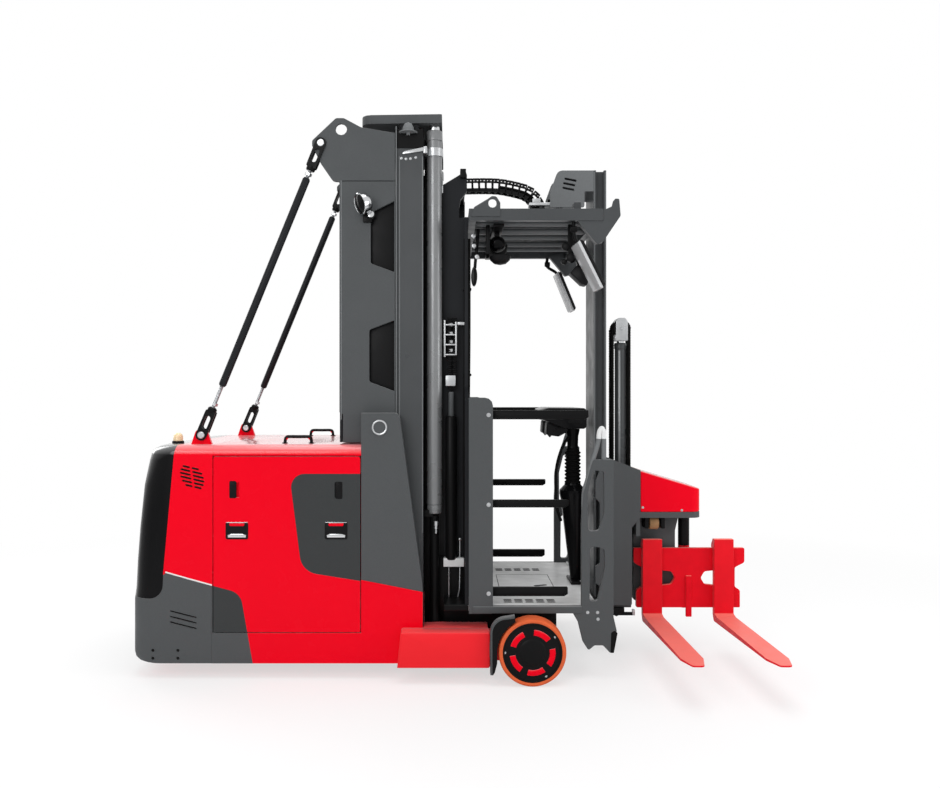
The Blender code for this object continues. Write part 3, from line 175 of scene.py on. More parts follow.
@dataclass(frozen=True)
class Finish:
    """A surface finish as the numbers of a procedural material."""

    name: str
    slot: str
    colour: Point
    roughness: float
    metallic: float = 0.0
    specular: float = 0.15
    sheen: float = 0.0
    mottle: float = 0.05
    mottle_size: float = 2.5
    grain: Grain = Grain.PEEL
    grain_depth: float = 0.05
    grain_size: float = 300.0
    polish: float = 0.08
    # The next field is a painted highlight: how far the colour is mixed towards the paler colour two fields
    # down where the surface faces up; top_coat varnishes those faces.
    painted_highlight: float = 0.0
    top_coat: float = 0.0
    painted_highlight_colour: Point = (0.95, 0.62, 0.64)

    def material(self) -> bpy.types.Material:
        """Build the material once, and hand out the same one after that.

        Returns:
            The material.
        """
        known = bpy.data.materials.get(self.name)
        if known:
            return known
        fresh = bpy.data.materials.new(self.name)
        fresh.use_nodes = True
        tree = fresh.node_tree
        shader = tree.nodes["Principled BSDF"]
        shader.inputs["Metallic"].default_value = self.metallic
        shader.inputs["Specular IOR Level"].default_value = self.specular
        shader.inputs["Sheen Weight"].default_value = self.sheen
        shader.inputs["Sheen Roughness"].default_value = SHEEN_ROUGHNESS
        shader.inputs["Coat Roughness"].default_value = COAT_ROUGHNESS
        nodes = FinishNodes(self, tree, shader, tree.nodes.new("ShaderNodeTexCoord").outputs["Object"])
        nodes.colour()
        nodes.polish()
        nodes.grain()
        return fresh


@dataclass
class FinishNodes:
    """The nodes of one finish's material, which read a point's place on its piece."""

    finish: Finish
    tree: Tree
    shader: Node
    place: Socket

    def noise(self, size: float, detail: float = 3.0, place: Socket | None = None) -> Socket:
        """Add a noise pattern.

        Args:
            size: Cells per metre.
            detail: Layers of finer noise.
            place: Another place to read than the point's own.

        Returns:
            The pattern's value.
        """
        node = self.tree.nodes.new("ShaderNodeTexNoise")
        node.inputs["Scale"].default_value = size
        node.inputs["Detail"].default_value = detail
        self.tree.links.new(place or self.place, node.inputs["Vector"])
        return node.outputs["Fac"]

    def colour(self) -> None:
        """Let the colour drift a little darker and lighter over the surface, and mix in the painted highlight
        on upward faces where the finish has one.
        """
        finish = self.finish
        ramp = self.tree.nodes.new("ShaderNodeValToRGB")
        for stop, position, drift in zip(ramp.color_ramp.elements, NOISE_RANGE,
                                         (-finish.mottle, finish.mottle)):
            stop.position = position
            stop.color = (*[min(1.0, value * (1.0 + drift)) for value in finish.colour], 1.0)
        size = finish.grain_size if finish.grain is Grain.POWDER else finish.mottle_size
        self.tree.links.new(self.noise(size, 4.0), ramp.inputs["Fac"])
        colour = ramp.outputs["Color"]
        # Faces that point up get a painted highlight in their colour.
        if finish.painted_highlight or finish.top_coat:
            colour = self.painted_highlight(colour)
        self.tree.links.new(colour, self.shader.inputs["Base Color"])

    def painted_highlight(self, colour: Socket) -> Socket:
        """Paint a highlight into the colour where the surface faces up, and varnish it there.

        Args:
            colour: The paint's own colour.

        Returns:
            The colour with its painted highlight.
        """
        tree, finish = self.tree, self.finish
        shape = tree.nodes.new("ShaderNodeNewGeometry")
        parts = tree.nodes.new("ShaderNodeSeparateXYZ")
        tree.links.new(shape.outputs["Normal"], parts.inputs[0])
        # Painted highlight: each point is mixed towards the paler colour by how far its normal points up.
        level = map_range(tree, parts.outputs["Z"], PAINTED_HIGHLIGHT_SLOPE, (0.0, finish.painted_highlight))
        if finish.top_coat:
            varnish = map_range(tree, parts.outputs["Z"], COAT_SLOPE, (0.0, finish.top_coat))
            tree.links.new(varnish, self.shader.inputs["Coat Weight"])
        mix = tree.nodes.new("ShaderNodeMix")
        mix.data_type = "RGBA"
        tree.links.new(level, mix.inputs[0])
        tree.links.new(colour, mix.inputs[6])
        mix.inputs[7].default_value = (*finish.painted_highlight_colour, 1.0)
        return mix.outputs[2]

    def polish(self) -> None:
        """Let the roughness vary in broad hand-sized patches."""
        middle, reach = self.finish.roughness, self.finish.polish
        ends = (max(0.02, middle - reach), min(1.0, middle + reach))
        spread = map_range(self.tree, self.noise(9.0, 5.0), NOISE_RANGE, ends)
        self.tree.links.new(spread, self.shader.inputs["Roughness"])

    def grain(self) -> None:
        """Raise the fine grain with a bump."""
        tree, grain, size = self.tree, self.finish.grain, self.finish.grain_size
        if grain is Grain.DIMPLED:
            cells = tree.nodes.new("ShaderNodeTexVoronoi")
            cells.inputs["Scale"].default_value = size
            cells.inputs["Randomness"].default_value = 0.25
            tree.links.new(self.place, cells.inputs["Vector"])
            height = cells.outputs["Distance"]
        elif grain is Grain.RIBBED:
            waves = tree.nodes.new("ShaderNodeTexWave")
            waves.bands_direction = "Z"
            waves.inputs["Scale"].default_value = size
            tree.links.new(self.place, waves.inputs["Vector"])
            height = waves.outputs["Fac"]
        elif grain is Grain.DRAWN:
            stretch = tree.nodes.new("ShaderNodeMapping")
            stretch.inputs["Scale"].default_value = (1.0, 1.0, 0.01)
            tree.links.new(self.place, stretch.inputs["Vector"])
            height = self.noise(size, place=stretch.outputs["Vector"])
        else:
            height = self.noise(size)
        bump = tree.nodes.new("ShaderNodeBump")
        bump.inputs["Strength"].default_value = self.finish.grain_depth
        bump.inputs["Distance"].default_value = 0.001
        tree.links.new(height, bump.inputs["Height"])
        tree.links.new(bump.outputs["Normal"], self.shader.inputs["Normal"])


# The pale second colour and its amount in the paints below are a painted highlight, mixed in where the
# surface faces up; top_coat varnishes those faces.
RED_PAINT = Finish("red_paint", "red", (0.8, 0.001, 0.013), 0.26, specular=0.05, sheen=0.22, mottle=0.012,
                   grain_depth=0.02, polish=0.03, painted_highlight=0.34, painted_highlight_colour=(0.96, 0.7, 0.71), top_coat=1.0)
FORK_PAINT = Finish("fork_paint", "red", (0.72, 0.004, 0.014), 0.4, specular=0.07, sheen=0.3, mottle=0.05,
                    mottle_size=14.0, painted_highlight=0.5, painted_highlight_colour=(0.98, 0.34, 0.27))
LEG_PAINT = Finish("leg_paint", "red", (0.84, 0.022, 0.03), 0.32, specular=0.05, sheen=0.22, mottle=0.015,
                   grain_depth=0.02, polish=0.03, painted_highlight=0.12, painted_highlight_colour=(0.96, 0.45, 0.42), top_coat=0.6)
GREY_POWDER = Finish(
    "grey_powder", "grey", (0.074, 0.079, 0.082), 0.55, specular=0.12, mottle=0.12, grain=Grain.POWDER,
    grain_depth=0.2, grain_size=520.0, painted_highlight=0.25, painted_highlight_colour=(0.6, 0.6, 0.6))
INLAY_GREY = Finish("inlay_grey", "grey", (0.04, 0.043, 0.044), 0.52, specular=0.1, mottle=0.1,
                    grain=Grain.POWDER, grain_depth=0.16, grain_size=520.0)
# Also the colour of the painted edge highlights on the mast's plates and rails.
PLATE_GREY = Finish("plate_grey", "steel_grey", (0.15, 0.158, 0.163), 0.45, specular=0.2, mottle=0.14,
                    mottle_size=12.0, grain=Grain.POWDER, grain_depth=0.25, grain_size=420.0)
RAIL_PAINT = Finish("rail_paint", "dark_grey", (0.056, 0.06, 0.063), 0.34, specular=0.22, mottle=0.08,
                    grain=Grain.DRAWN, grain_depth=0.1, grain_size=160.0)
DARK_PAINT = Finish(
    "dark_paint", "dark_grey", (0.014, 0.015, 0.017), 0.42, specular=0.1, mottle=0.1, grain_depth=0.06)
BLACK_PLASTIC = Finish(
    "black_plastic", "black", (0.004, 0.004, 0.0045), 0.42, specular=0.12, mottle=0.1, grain=Grain.POWDER,
    grain_depth=0.12, grain_size=900.0)
BLACK_GLOSS = Finish("black_gloss", "black", (0.004, 0.004, 0.0045), 0.18, specular=0.08, sheen=0.05,
                     grain_depth=0.02, polish=0.03)
# The cover's grey second colour is a painted highlight on its upward faces.
COVER_BLACK = Finish("cover_black", "black", (0.004, 0.004, 0.0045), 0.2, specular=0.08, sheen=0.3,
                     grain_depth=0.02, polish=0.03, painted_highlight=0.2, painted_highlight_colour=(0.55, 0.56, 0.57), top_coat=1.0)
BLACK_METAL = Finish("black_enamel", "black_metal", (0.0055, 0.0055, 0.0058), 0.36, specular=0.08,
                     mottle=0.08, grain_depth=0.06)
RUBBER = Finish("black_rubber", "black", (0.005, 0.005, 0.005), 0.72, specular=0.08, mottle=0.15,
                grain_depth=0.2)
TYRE = Finish("orange_tyre", "orange", (0.66, 0.115, 0.035), 0.55, mottle=0.08, mottle_size=20.0,
              grain_depth=0.12, grain_size=260.0)
# Also the colour of the painted highlight down the front mast's cylinder.
CYLINDER = Finish("cylinder_paint", "silver", (0.2, 0.205, 0.21), 0.3, specular=0.4, metallic=0.3,
                  mottle=0.05, grain=Grain.DRAWN, grain_depth=0.05, grain_size=220.0)
# Also the colour of the painted highlight bars on the latches.
CHROME = Finish("bright_steel", "silver", (0.58, 0.59, 0.6), 0.14, specular=0.5, metallic=1.0, mottle=0.03,
                polish=0.04)
ZINC = Finish("zinc_plate", "silver", (0.46, 0.47, 0.48), 0.3, specular=0.5, metallic=0.85, mottle=0.08,
              mottle_size=40.0)
FLOOR_PLATE = Finish("floor_plate", "light_grey", (0.66, 0.665, 0.665), 0.42, specular=0.3, mottle=0.16,
                     mottle_size=9.0, grain=Grain.DIMPLED, grain_depth=0.35, grain_size=170.0)
CAST_GREY = Finish("battery_tray", "steel_grey", (0.12, 0.13, 0.14), 0.6, mottle=0.12, grain_depth=0.2)
AMBER_LENS = Finish("amber_lens", "amber", (0.88, 0.68, 0.42), 0.18, specular=0.4, mottle=0.05,
                    grain=Grain.RIBBED, grain_depth=0.3, grain_size=60.0)
# The mirror's pale grey base colour is a painted reflection; its part-metallic gloss gives real reflection.
MIRROR_PAINTED_REFLECTION = Finish("mirror_face", "mirror_glass", (0.56, 0.57, 0.58), 0.22, specular=0.5, metallic=0.35,
                     mottle=0.04, mottle_size=14.0, polish=0.04)
ROLLER_TAN = Finish("roller_tan", "steel_grey", (0.3, 0.17, 0.08), 0.5, mottle=0.1, mottle_size=30.0)
# Also the colour of the painted highlight along the bumper's top edge.
WHITE_CAP = Finish("white_cap", "light_grey", (0.72, 0.73, 0.73), 0.35, mottle=0.02)


@dataclass
class Shell:
    """Points and faces of a surface that is still being put together."""

    points: Array
    faces: list[list[int]]

    def __add__(self, other: "Shell") -> "Shell":
        """Lay another surface beside this one in the same mesh."""
        step = len(self.points)
        return Shell(np.vstack((self.points, other.points)),
                     self.faces + [[i + step for i in face] for face in other.faces])

    def moved(self, x: float = 0.0, y: float = 0.0, z: float = 0.0) -> "Shell":
        """Shift every point by the same step."""
        return Shell(self.points + np.array((x, y, z)), self.faces)

    def turned(self, axis: int, angle: float, about: Point) -> "Shell":
        """Turn the points about a line along one axis.

        Args:
            axis: 0, 1 or 2 for a line along X, Y or Z.
            angle: Turn in degrees, by the rotation formula in the other two axes.
            about: A point on the line.

        Returns:
            The turned surface.
        """
        u, v = [(1, 2), (2, 0), (0, 1)][axis]
        c, s = cos(radians(angle)), sin(radians(angle))
        points = self.points - np.array(about)
        spun = points.copy()
        spun[:, u] = c * points[:, u] - s * points[:, v]
        spun[:, v] = s * points[:, u] + c * points[:, v]
        return Shell(spun + np.array(about), self.faces)

    def mirrored(self, sign: int) -> "Shell":
        """Keep the surface for +1, or reflect it in the truck's middle plane for -1."""
        return Shell(self.points * np.array((1.0, float(sign), 1.0)), self.faces)


def lattice(grid: Array, wrap_u: bool = False, wrap_v: bool = False, caps: bool = False) -> Shell:
    """Join a grid of points into quads.

    Args:
        grid: Points as an array of rows, columns and three coordinates.
        wrap_u: Join the last row to the first.
        wrap_v: Join the last column to the first.
        caps: Close the first and the last row with one face each.

    Returns:
        The surface, with point number row * columns + column.
    """
    rows, columns = grid.shape[:2]
    number = np.arange(rows * columns).reshape(rows, columns)
    down = np.roll(number, -1, 0) if wrap_u else number[1:]
    here = number if wrap_u else number[:-1]
    if wrap_v:
        quads = np.stack((here, np.roll(here, -1, 1), np.roll(down, -1, 1), down), -1)
    else:
        quads = np.stack((here[:, :-1], here[:, 1:], down[:, 1:], down[:, :-1]), -1)
    faces = quads.reshape(-1, 4).tolist()
    if caps:
        faces += [number[0][::-1].tolist(), number[-1].tolist()]
    return Shell(grid.reshape(-1, 3), faces)


def round_outline(corners: list[Point], steps: int = 6) -> Array:
    """Round the corners of a closed outline.

    Each corner with a radius becomes an arc that touches both of its sides,
    centred on the line that halves the corner's angle.

    Args:
        corners: (u, v, radius) of each corner in order.
        steps: Pieces per arc.

    Returns:
        The outline's points as an array of pairs.
    """
    line: list[Pair] = []
    for index, (u, v, radius) in enumerate(corners):
        here = np.array((u, v))
        if radius <= 0.0:
            line.append((u, v))
            continue
        back = np.array(corners[index - 1][:2]) - here
        ahead = np.array(corners[(index + 1) % len(corners)][:2]) - here
        back /= np.linalg.norm(back)
        ahead /= np.linalg.norm(ahead)
        half = np.arccos(np.clip(back @ ahead, -1.0, 1.0)) / 2
        middle = (back + ahead) / np.linalg.norm(back + ahead)
        centre = here + middle * radius / sin(half)
        reach = radius * cos(half) / sin(half)
        first = here + back * reach - centre
        last = here + ahead * reach - centre
        start = atan2(first[1], first[0])
        sweep = (atan2(last[1], last[0]) - start + pi) % tau - pi
        for angle in start + sweep * np.linspace(0.0, 1.0, steps + 1):
            line.append((centre[0] + radius * cos(angle), centre[1] + radius * sin(angle)))
    return np.array(line)


def shrink(outline: Array, gap: float) -> Array:
    """Move a closed outline inwards.

    Each point goes along the mean of its two side normals, by the gap over
    the cosine of half the corner's turn, held to under three gaps.

    Args:
        outline: Points of the outline, either way round.
        gap: Distance between the old sides and the new ones; less than zero is outwards.

    Returns:
        The moved points.
    """
    tiny = 1e-12
    before = np.roll(outline, 1, 0)
    back = outline - before
    ahead = np.roll(outline, -1, 0) - outline
    back /= np.linalg.norm(back, axis=1, keepdims=True) + tiny
    ahead /= np.linalg.norm(ahead, axis=1, keepdims=True) + tiny
    area = np.sum(before[:, 0] * outline[:, 1] - outline[:, 0] * before[:, 1])
    turn = 1.0 if area > 0 else -1.0
    normal = np.stack((-(back[:, 1] + ahead[:, 1]), back[:, 0] + ahead[:, 0]), 1) * turn
    length = np.linalg.norm(normal, axis=1, keepdims=True) + tiny
    normal /= length
    across = np.clip(length / 2, 0.35, 1.0)
    return outline + normal * gap / across


def rounded_box(low: Pair, high: Pair, radius: float) -> Array:
    """Outline of an upright rectangle whose four corners have one radius."""
    return round_outline([(low[0], low[1], radius), (high[0], low[1], radius), (high[0], high[1], radius),
                          (low[0], high[1], radius)])


def lift(outline: Array, height: float, plane: Plane) -> Array:
    """Place a flat outline in space.

    Args:
        outline: Pairs in the plane.
        height: Place along the plane's third axis.
        plane: The plane.

    Returns:
        The points with three coordinates.
    """
    points = np.zeros((len(outline), 3))
    u, v, w = plane.value
    points[:, u] = outline[:, 0]
    points[:, v] = outline[:, 1]
    points[:, w] = height
    return points


def slab(outline: Array, low: float, high: float, plane: Plane = Plane.XZ, edge: float = 0.001) -> Shell:
    """Give an outline thickness, with both rims eased by a small quarter round.

    Args:
        outline: Closed outline in the plane.
        low: Lower face along the third axis.
        high: Upper face along the third axis.
        plane: Plane of the outline.
        edge: Radius of the eased rims.

    Returns:
        The closed surface: rings of the outline, each shrunk by the rim's
        quarter circle at its height.
    """
    if low > high:
        low, high = high, low
    edge = min(edge, (high - low) / 2.2)
    rings = []
    for angle in np.linspace(0.0, pi / 2, 3):
        rings.append(lift(shrink(outline, edge * (1 - sin(angle))), low + edge * (1 - cos(angle)), plane))
    for angle in np.linspace(pi / 2, 0.0, 3):
        rings.append(lift(shrink(outline, edge * (1 - sin(angle))), high - edge * (1 - cos(angle)), plane))
    return lattice(np.array(rings), wrap_v=True, caps=True)


def read_round(loop: Array, middle: Array, angles: Array) -> Array:
    """Read a closed outline at given angles about a point inside it.

    Args:
        loop: Points of the outline.
        middle: The point inside.
        angles: Angles from the middle, in radians.

    Returns:
        One point for each angle, between the two nearest of a twelvefold finer outline.
    """
    dense = np.concatenate([np.linspace(loop[i - 1], loop[i], 12, endpoint=False) for i in range(len(loop))])
    own = np.arctan2(dense[:, 1] - middle[1], dense[:, 0] - middle[0])
    order = np.argsort(own)
    u = np.interp(angles, own[order], dense[order, 0], period=tau)
    v = np.interp(angles, own[order], dense[order, 1], period=tau)
    return np.stack((u, v), 1)


def ring_slab(outer: Array, inner: Array, low: float, high: float, plane: Plane = Plane.XZ) -> Shell:
    """A plate with one hole: outer wall, top, inner wall and bottom as one closed band.

    Both outlines are read at the same angles about the hole's middle, so that
    their points pair up.

    Args:
        outer: Outline of the plate.
        inner: Outline of the hole.
        low: One face along the plane's third axis.
        high: The other face.
        plane: Plane of the outlines.

    Returns:
        The closed surface.
    """
    angles = np.linspace(-pi, pi, 64, endpoint=False)
    middle = inner.mean(0)
    out, hole = read_round(outer, middle, angles), read_round(inner, middle, angles)
    rings = [lift(out, low, plane), lift(out, high, plane), lift(hole, high, plane), lift(hole, low, plane)]
    return lattice(np.array(rings), wrap_u=True, wrap_v=True)


def block(low: Point, high: Point, radius: float = 0.003, steps: int = 3) -> Shell:
    """A block with rounded edges.

    Args:
        low: One corner.
        high: The opposite corner.
        radius: Radius of the edges, at most half the thinnest side.
        steps: Pieces per quarter turn.

    Returns:
        The closed surface: each eighth of a small sphere pushed out to its own corner.
    """
    low_p, high_p = np.minimum(low, high), np.maximum(low, high)
    radius = min(radius, float((high_p - low_p).min()) / 2.01)
    quarter = np.linspace(0.0, pi / 2, steps + 1)
    around = np.concatenate([quarter + k * pi / 2 for k in range(4)])
    sign_x = np.repeat([1.0, -1.0, -1.0, 1.0], steps + 1)
    sign_y = np.repeat([1.0, 1.0, -1.0, -1.0], steps + 1)
    up = np.concatenate((quarter - pi / 2, quarter))
    sign_z = np.repeat([-1.0, 1.0], steps + 1)
    half = (high_p - low_p) / 2 - radius
    grid = np.zeros((len(up), len(around), 3))
    grid[..., 0] = radius * np.cos(up)[:, None] * np.cos(around)[None] + half[0] * sign_x[None]
    grid[..., 1] = radius * np.cos(up)[:, None] * np.sin(around)[None] + half[1] * sign_y[None]
    grid[..., 2] = radius * np.sin(up)[:, None] + half[2] * sign_z[:, None]
    return lattice(grid + (low_p + high_p) / 2, wrap_v=True, caps=True)


def painted_edge_highlight(x: float, y: Pair, z: Pair, radius: float = 0.0008) -> Shell:
    """An upright painted highlight, six millimetres wide, where a plate's edge catches the light."""
    return block((x - 0.003, y[0], z[0]), (x + 0.003, y[1], z[1]), radius, 1)


def lathe(profile: list[Pair], centre: Point, axis: Point = UP, steps: int = 48,
          closed: bool = False) -> Shell:
    """Turn a profile about an axis.

    Args:
        profile: (radius, height along the axis) points.
        centre: Where height zero lies.
        axis: Direction of the axis.
        steps: Pieces round the turn.
        closed: Join the profile's end to its start.

    Returns:
        The surface: radius times the circle in the plane across the axis, plus
        the height along it.
    """
    along = np.array(axis, float)
    along /= np.linalg.norm(along)
    help_axis = np.array((0.0, 1.0, 0.0)) if abs(along[1]) < 0.9 else np.array((1.0, 0.0, 0.0))
    first = np.cross(help_axis, along)
    first /= np.linalg.norm(first)
    second = np.cross(along, first)
    angles = np.linspace(0.0, tau, steps, endpoint=False)
    circle = np.cos(angles)[:, None] * first + np.sin(angles)[:, None] * second
    shape = np.array(profile, float)
    grid = shape[:, 0][:, None, None] * circle[None] + shape[:, 1][:, None, None] * along
    return lattice(grid + np.array(centre), wrap_u=closed, wrap_v=True, caps=not closed)


def even(upper: list[Pair]) -> list[Pair]:
    """Complete a profile that is the same above and below height zero."""
    return [(radius, -height) for radius, height in upper[::-1] if height] + upper


def drum(radius: float, low: float, high: float, centre: Point, axis: Point = UP, steps: int = 40) -> Shell:
    """A plain closed cylinder between two heights along its axis."""
    return lathe([(0.0, low), (radius, low), (radius, high), (0.0, high)], centre, axis, steps)


def bead(size: float, centre: Point, axis: Point, steps: int = 20) -> Shell:
    """A stout round knuckle: radii of 0, 0.8, 1, 0.8 and 0 sizes at -1, -0.7, 0, 0.7 and 1 size."""
    return lathe(even([(size, 0.0), (size * 0.8, size * 0.7), (0.0, size)]), centre, axis, steps)


def smooth_path(points: list[Point], count: int = 32) -> Array:
    """Run a curve through the points.

    Args:
        points: Points in order.
        count: Points of the curve.

    Returns:
        The curve: cubic pieces whose slopes are half the chords of the neighbours.
    """
    knots = np.array(points, float)
    ends = np.vstack((2 * knots[0] - knots[1], knots, 2 * knots[-1] - knots[-2]))
    t = np.linspace(0.0, len(knots) - 1 - 1e-9, count)
    i = t.astype(int)
    f = (t - i)[:, None]
    a, b, c, d = ends[i], ends[i + 1], ends[i + 2], ends[i + 3]
    square = 2 * a - 5 * b + 4 * c - d
    cube = 3 * b - a - 3 * c + d
    return 0.5 * (2 * b + (c - a) * f + square * f ** 2 + cube * f ** 3)


def sweep(path: Array, section: Array, scale: Array | None = None) -> Shell:
    """Carry a closed section along a path.

    The section's first axis stays level across the path where it can, and its
    second is square to both.

    Args:
        path: Points of the path.
        section: Pairs across the path.
        scale: Factor of the section at each point of the path, if it changes.

    Returns:
        The closed tube.
    """
    tangent = np.gradient(path, axis=0)
    tangent /= np.linalg.norm(tangent, axis=1, keepdims=True)
    spread = path.max(0) - path.min(0)
    level = np.zeros(3)
    level[int(np.argmin(spread))] = 1.0
    first = np.cross(level, tangent)
    first /= np.linalg.norm(first, axis=1, keepdims=True)
    second = np.cross(tangent, first)
    size = np.ones(len(path)) if scale is None else scale
    grid = path[:, None] + size[:, None, None] * (
        section[None, :, 0, None] * first[:, None] + section[None, :, 1, None] * second[:, None])
    return lattice(grid, wrap_v=True, caps=True)


def tube(points: list[Point] | Array, radius: float, sides: int = 16, scale: Array | None = None) -> Shell:
    """A round tube along a path.

    Args:
        points: Points of the path.
        radius: Radius of the tube.
        sides: Points round it.
        scale: Factor of the radius at each point of the path, if it changes.

    Returns:
        The closed tube.
    """
    angles = np.linspace(0.0, tau, sides, endpoint=False)
    section = radius * np.stack((np.cos(angles), np.sin(angles)), 1)
    return sweep(np.array(points, float), section, scale)


def capsule(centre: Pair, length: float, width: float, angle: float = 0.0) -> Array:
    """A slot's outline: a straight run with a half circle at each end.

    Args:
        centre: Middle of the slot.
        length: Length over both round ends.
        width: Width across.
        angle: Turn in degrees.

    Returns:
        The outline's points.
    """
    bend = np.linspace(-pi / 2, pi / 2, 7)
    run = max(0.0, length - width) / 2
    right = np.stack((run + width / 2 * np.cos(bend), width / 2 * np.sin(bend)), 1)
    loop = np.vstack((right, -right))
    c, s = cos(radians(angle)), sin(radians(angle))
    return loop @ np.array(((c, s), (-s, c))) + np.array(centre)


def bolt(centre: Point, axis: Point, radius: float = 0.008) -> Shell:
    """A domed hexagon bolt on its washer.

    Args:
        centre: Where the washer lies on.
        axis: Direction that the head points in.
        radius: Radius of the head.

    Returns:
        Two turned profiles, the head's with six sides.
    """
    washer = lathe([(0.0, 0.0), (radius * 1.5, 0.0), (radius * 1.5, radius * 0.22), (0.0, radius * 0.25)],
                   centre, axis, 20)
    head = lathe([(0.0, radius * 0.2), (radius, radius * 0.2), (radius, radius * 0.75),
                  (radius * 0.85, radius * 0.9), (0.0, radius * 0.95)], centre, axis, 6)
    return washer + head


def together(shells: Iterable[Shell]) -> Shell:
    """Lay any number of surfaces side by side in one mesh."""
    return sum(shells, Shell(np.zeros((0, 3)), []))


def solid(name: str, shell: Shell) -> bpy.types.Mesh:
    """Put a surface into a mesh, weld its poles and turn its faces outwards.

    Args:
        name: Name of the mesh.
        shell: The surface.

    Returns:
        The mesh.
    """
    mesh = bpy.data.meshes.new(name)
    mesh.from_pydata(shell.points.tolist(), [], shell.faces)
    work = bmesh.new()
    work.from_mesh(mesh)
    bmesh.ops.remove_doubles(work, verts=work.verts, dist=1e-6)
    bmesh.ops.recalc_face_normals(work, faces=work.faces)
    work.to_mesh(mesh)
    work.free()
    return mesh


def piece(name: str, mesh: bpy.types.Mesh, finish: Finish, body: str, replaces: tuple[str, ...] = (),
          sharp: float = 35.0, bevel: float = 0.0) -> bpy.types.Object:
    """Finish a mesh as one piece of the truck.

    Args:
        name: Name of the piece.
        mesh: Its mesh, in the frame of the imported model.
        finish: Its surface finish.
        body: The body that it rides on.
        replaces: CAD nodes that it stands for.
        sharp: Edges that turn by more degrees stay crisp.
        bevel: Width of the eased edges, or zero.

    Returns:
        The finished object.
    """
    mesh.name = name
    item = bpy.data.objects.new(name, mesh)
    bpy.context.scene.collection.objects.link(item)
    mesh.materials.clear()
    mesh.materials.append(finish.material())
    mesh.shade_smooth()
    mesh.set_sharp_from_angle(angle=radians(sharp))
    if bevel:
        eased = item.modifiers.new("eased_edges", "BEVEL")
        eased.width = bevel
        eased.segments = 2
        eased.limit_method = "ANGLE"
        eased.angle_limit = radians(sharp)
        eased.harden_normals = True
    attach(item, body)
    if replaces:
        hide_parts(*replaces)
    log.info("piece %s on %s, %d faces", name, body, len(mesh.polygons))
    return item


def placed(name: str, shell: Shell) -> bpy.types.Mesh:
    """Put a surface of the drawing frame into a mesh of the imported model's frame."""
    return solid(name, Shell(shell.points + OFFSET, shell.faces))


def made(name: str, shell: Shell, finish: Finish, body: str,
         replaces: tuple[str, ...] = ()) -> bpy.types.Object:
    """Turn a surface of the drawing frame into a piece; the arguments are those of piece()."""
    return piece(name, placed(name, shell), finish, body, replaces)


def node_mesh(node: str) -> bpy.types.Mesh:
    """Copy a CAD node's mesh, with its loose triangles merged into flat faces.

    Args:
        node: Name of the node.

    Returns:
        The copy.
    """
    mesh = frame["nodes"][node].data.copy()
    work = bmesh.new()
    work.from_mesh(mesh)
    bmesh.ops.remove_doubles(work, verts=work.verts, dist=CAD_WELD)
    bmesh.ops.dissolve_limit(work, angle_limit=FLAT_ANGLE, verts=work.verts, edges=work.edges)
    fresh = bpy.data.meshes.new(node)
    work.to_mesh(fresh)
    work.free()
    if "custom_normal" in fresh.attributes:
        fresh.attributes.remove(fresh.attributes["custom_normal"])
    return fresh


def dress(node: str, finish: Finish, bevel: float = 0.002, sharp: float = 32.0) -> bpy.types.Object:
    """Stand a copy of a CAD node with eased edges in its place."""
    return piece(node + "_skin", node_mesh(node), finish, BODY_OF[node], (node,), sharp, bevel)


def carve(name: str, node: str, region: Shell, keep_inside: bool, finish: Finish, bevel: float) -> None:
    """Take the part of a CAD node inside or outside a region as a piece of its own.

    Args:
        name: Name of the piece.
        node: The CAD node.
        region: Closed surface of the region, in the drawing frame.
        keep_inside: Whether the part inside is the one that stays.
        finish: Finish of the piece.
        bevel: Width of its eased edges.
    """
    tool = bpy.data.objects.new("region", placed("region", region))
    blank = bpy.data.objects.new("blank", node_mesh(node))
    for item in (tool, blank):
        bpy.context.scene.collection.objects.link(item)
    change = blank.modifiers.new("carve", "BOOLEAN")
    change.operation = "INTERSECT" if keep_inside else "DIFFERENCE"
    change.solver = "EXACT"
    change.object = tool
    bpy.context.view_layer.update()
    mesh = bpy.data.meshes.new_from_object(blank.evaluated_get(bpy.context.evaluated_depsgraph_get()))
    for item in (tool, blank):
        bpy.data.objects.remove(item, do_unlink=True)
    piece(name, mesh, finish, BODY_OF[node], (node,), 32.0, bevel)


@dataclass(frozen=True)
class Lamp:
    """A large soft lamp: its place, what it faces, its size and its power in watts."""

    name: str
    at: Point
    target: Point
    size: Pair
    power: float

    def hang(self) -> None:
        """Put the lamp into the scene, turned to its target."""
        light = bpy.data.lights.new(self.name, "AREA")
        light.shape = "RECTANGLE"
        light.size, light.size_y = self.size
        light.energy = self.power
        item = bpy.data.objects.new(self.name, light)
        item.location = self.at
        item.rotation_euler = (Vector(self.target) - Vector(self.at)).to_track_quat("-Z", "Y").to_euler()
        bpy.context.scene.collection.objects.link(item)


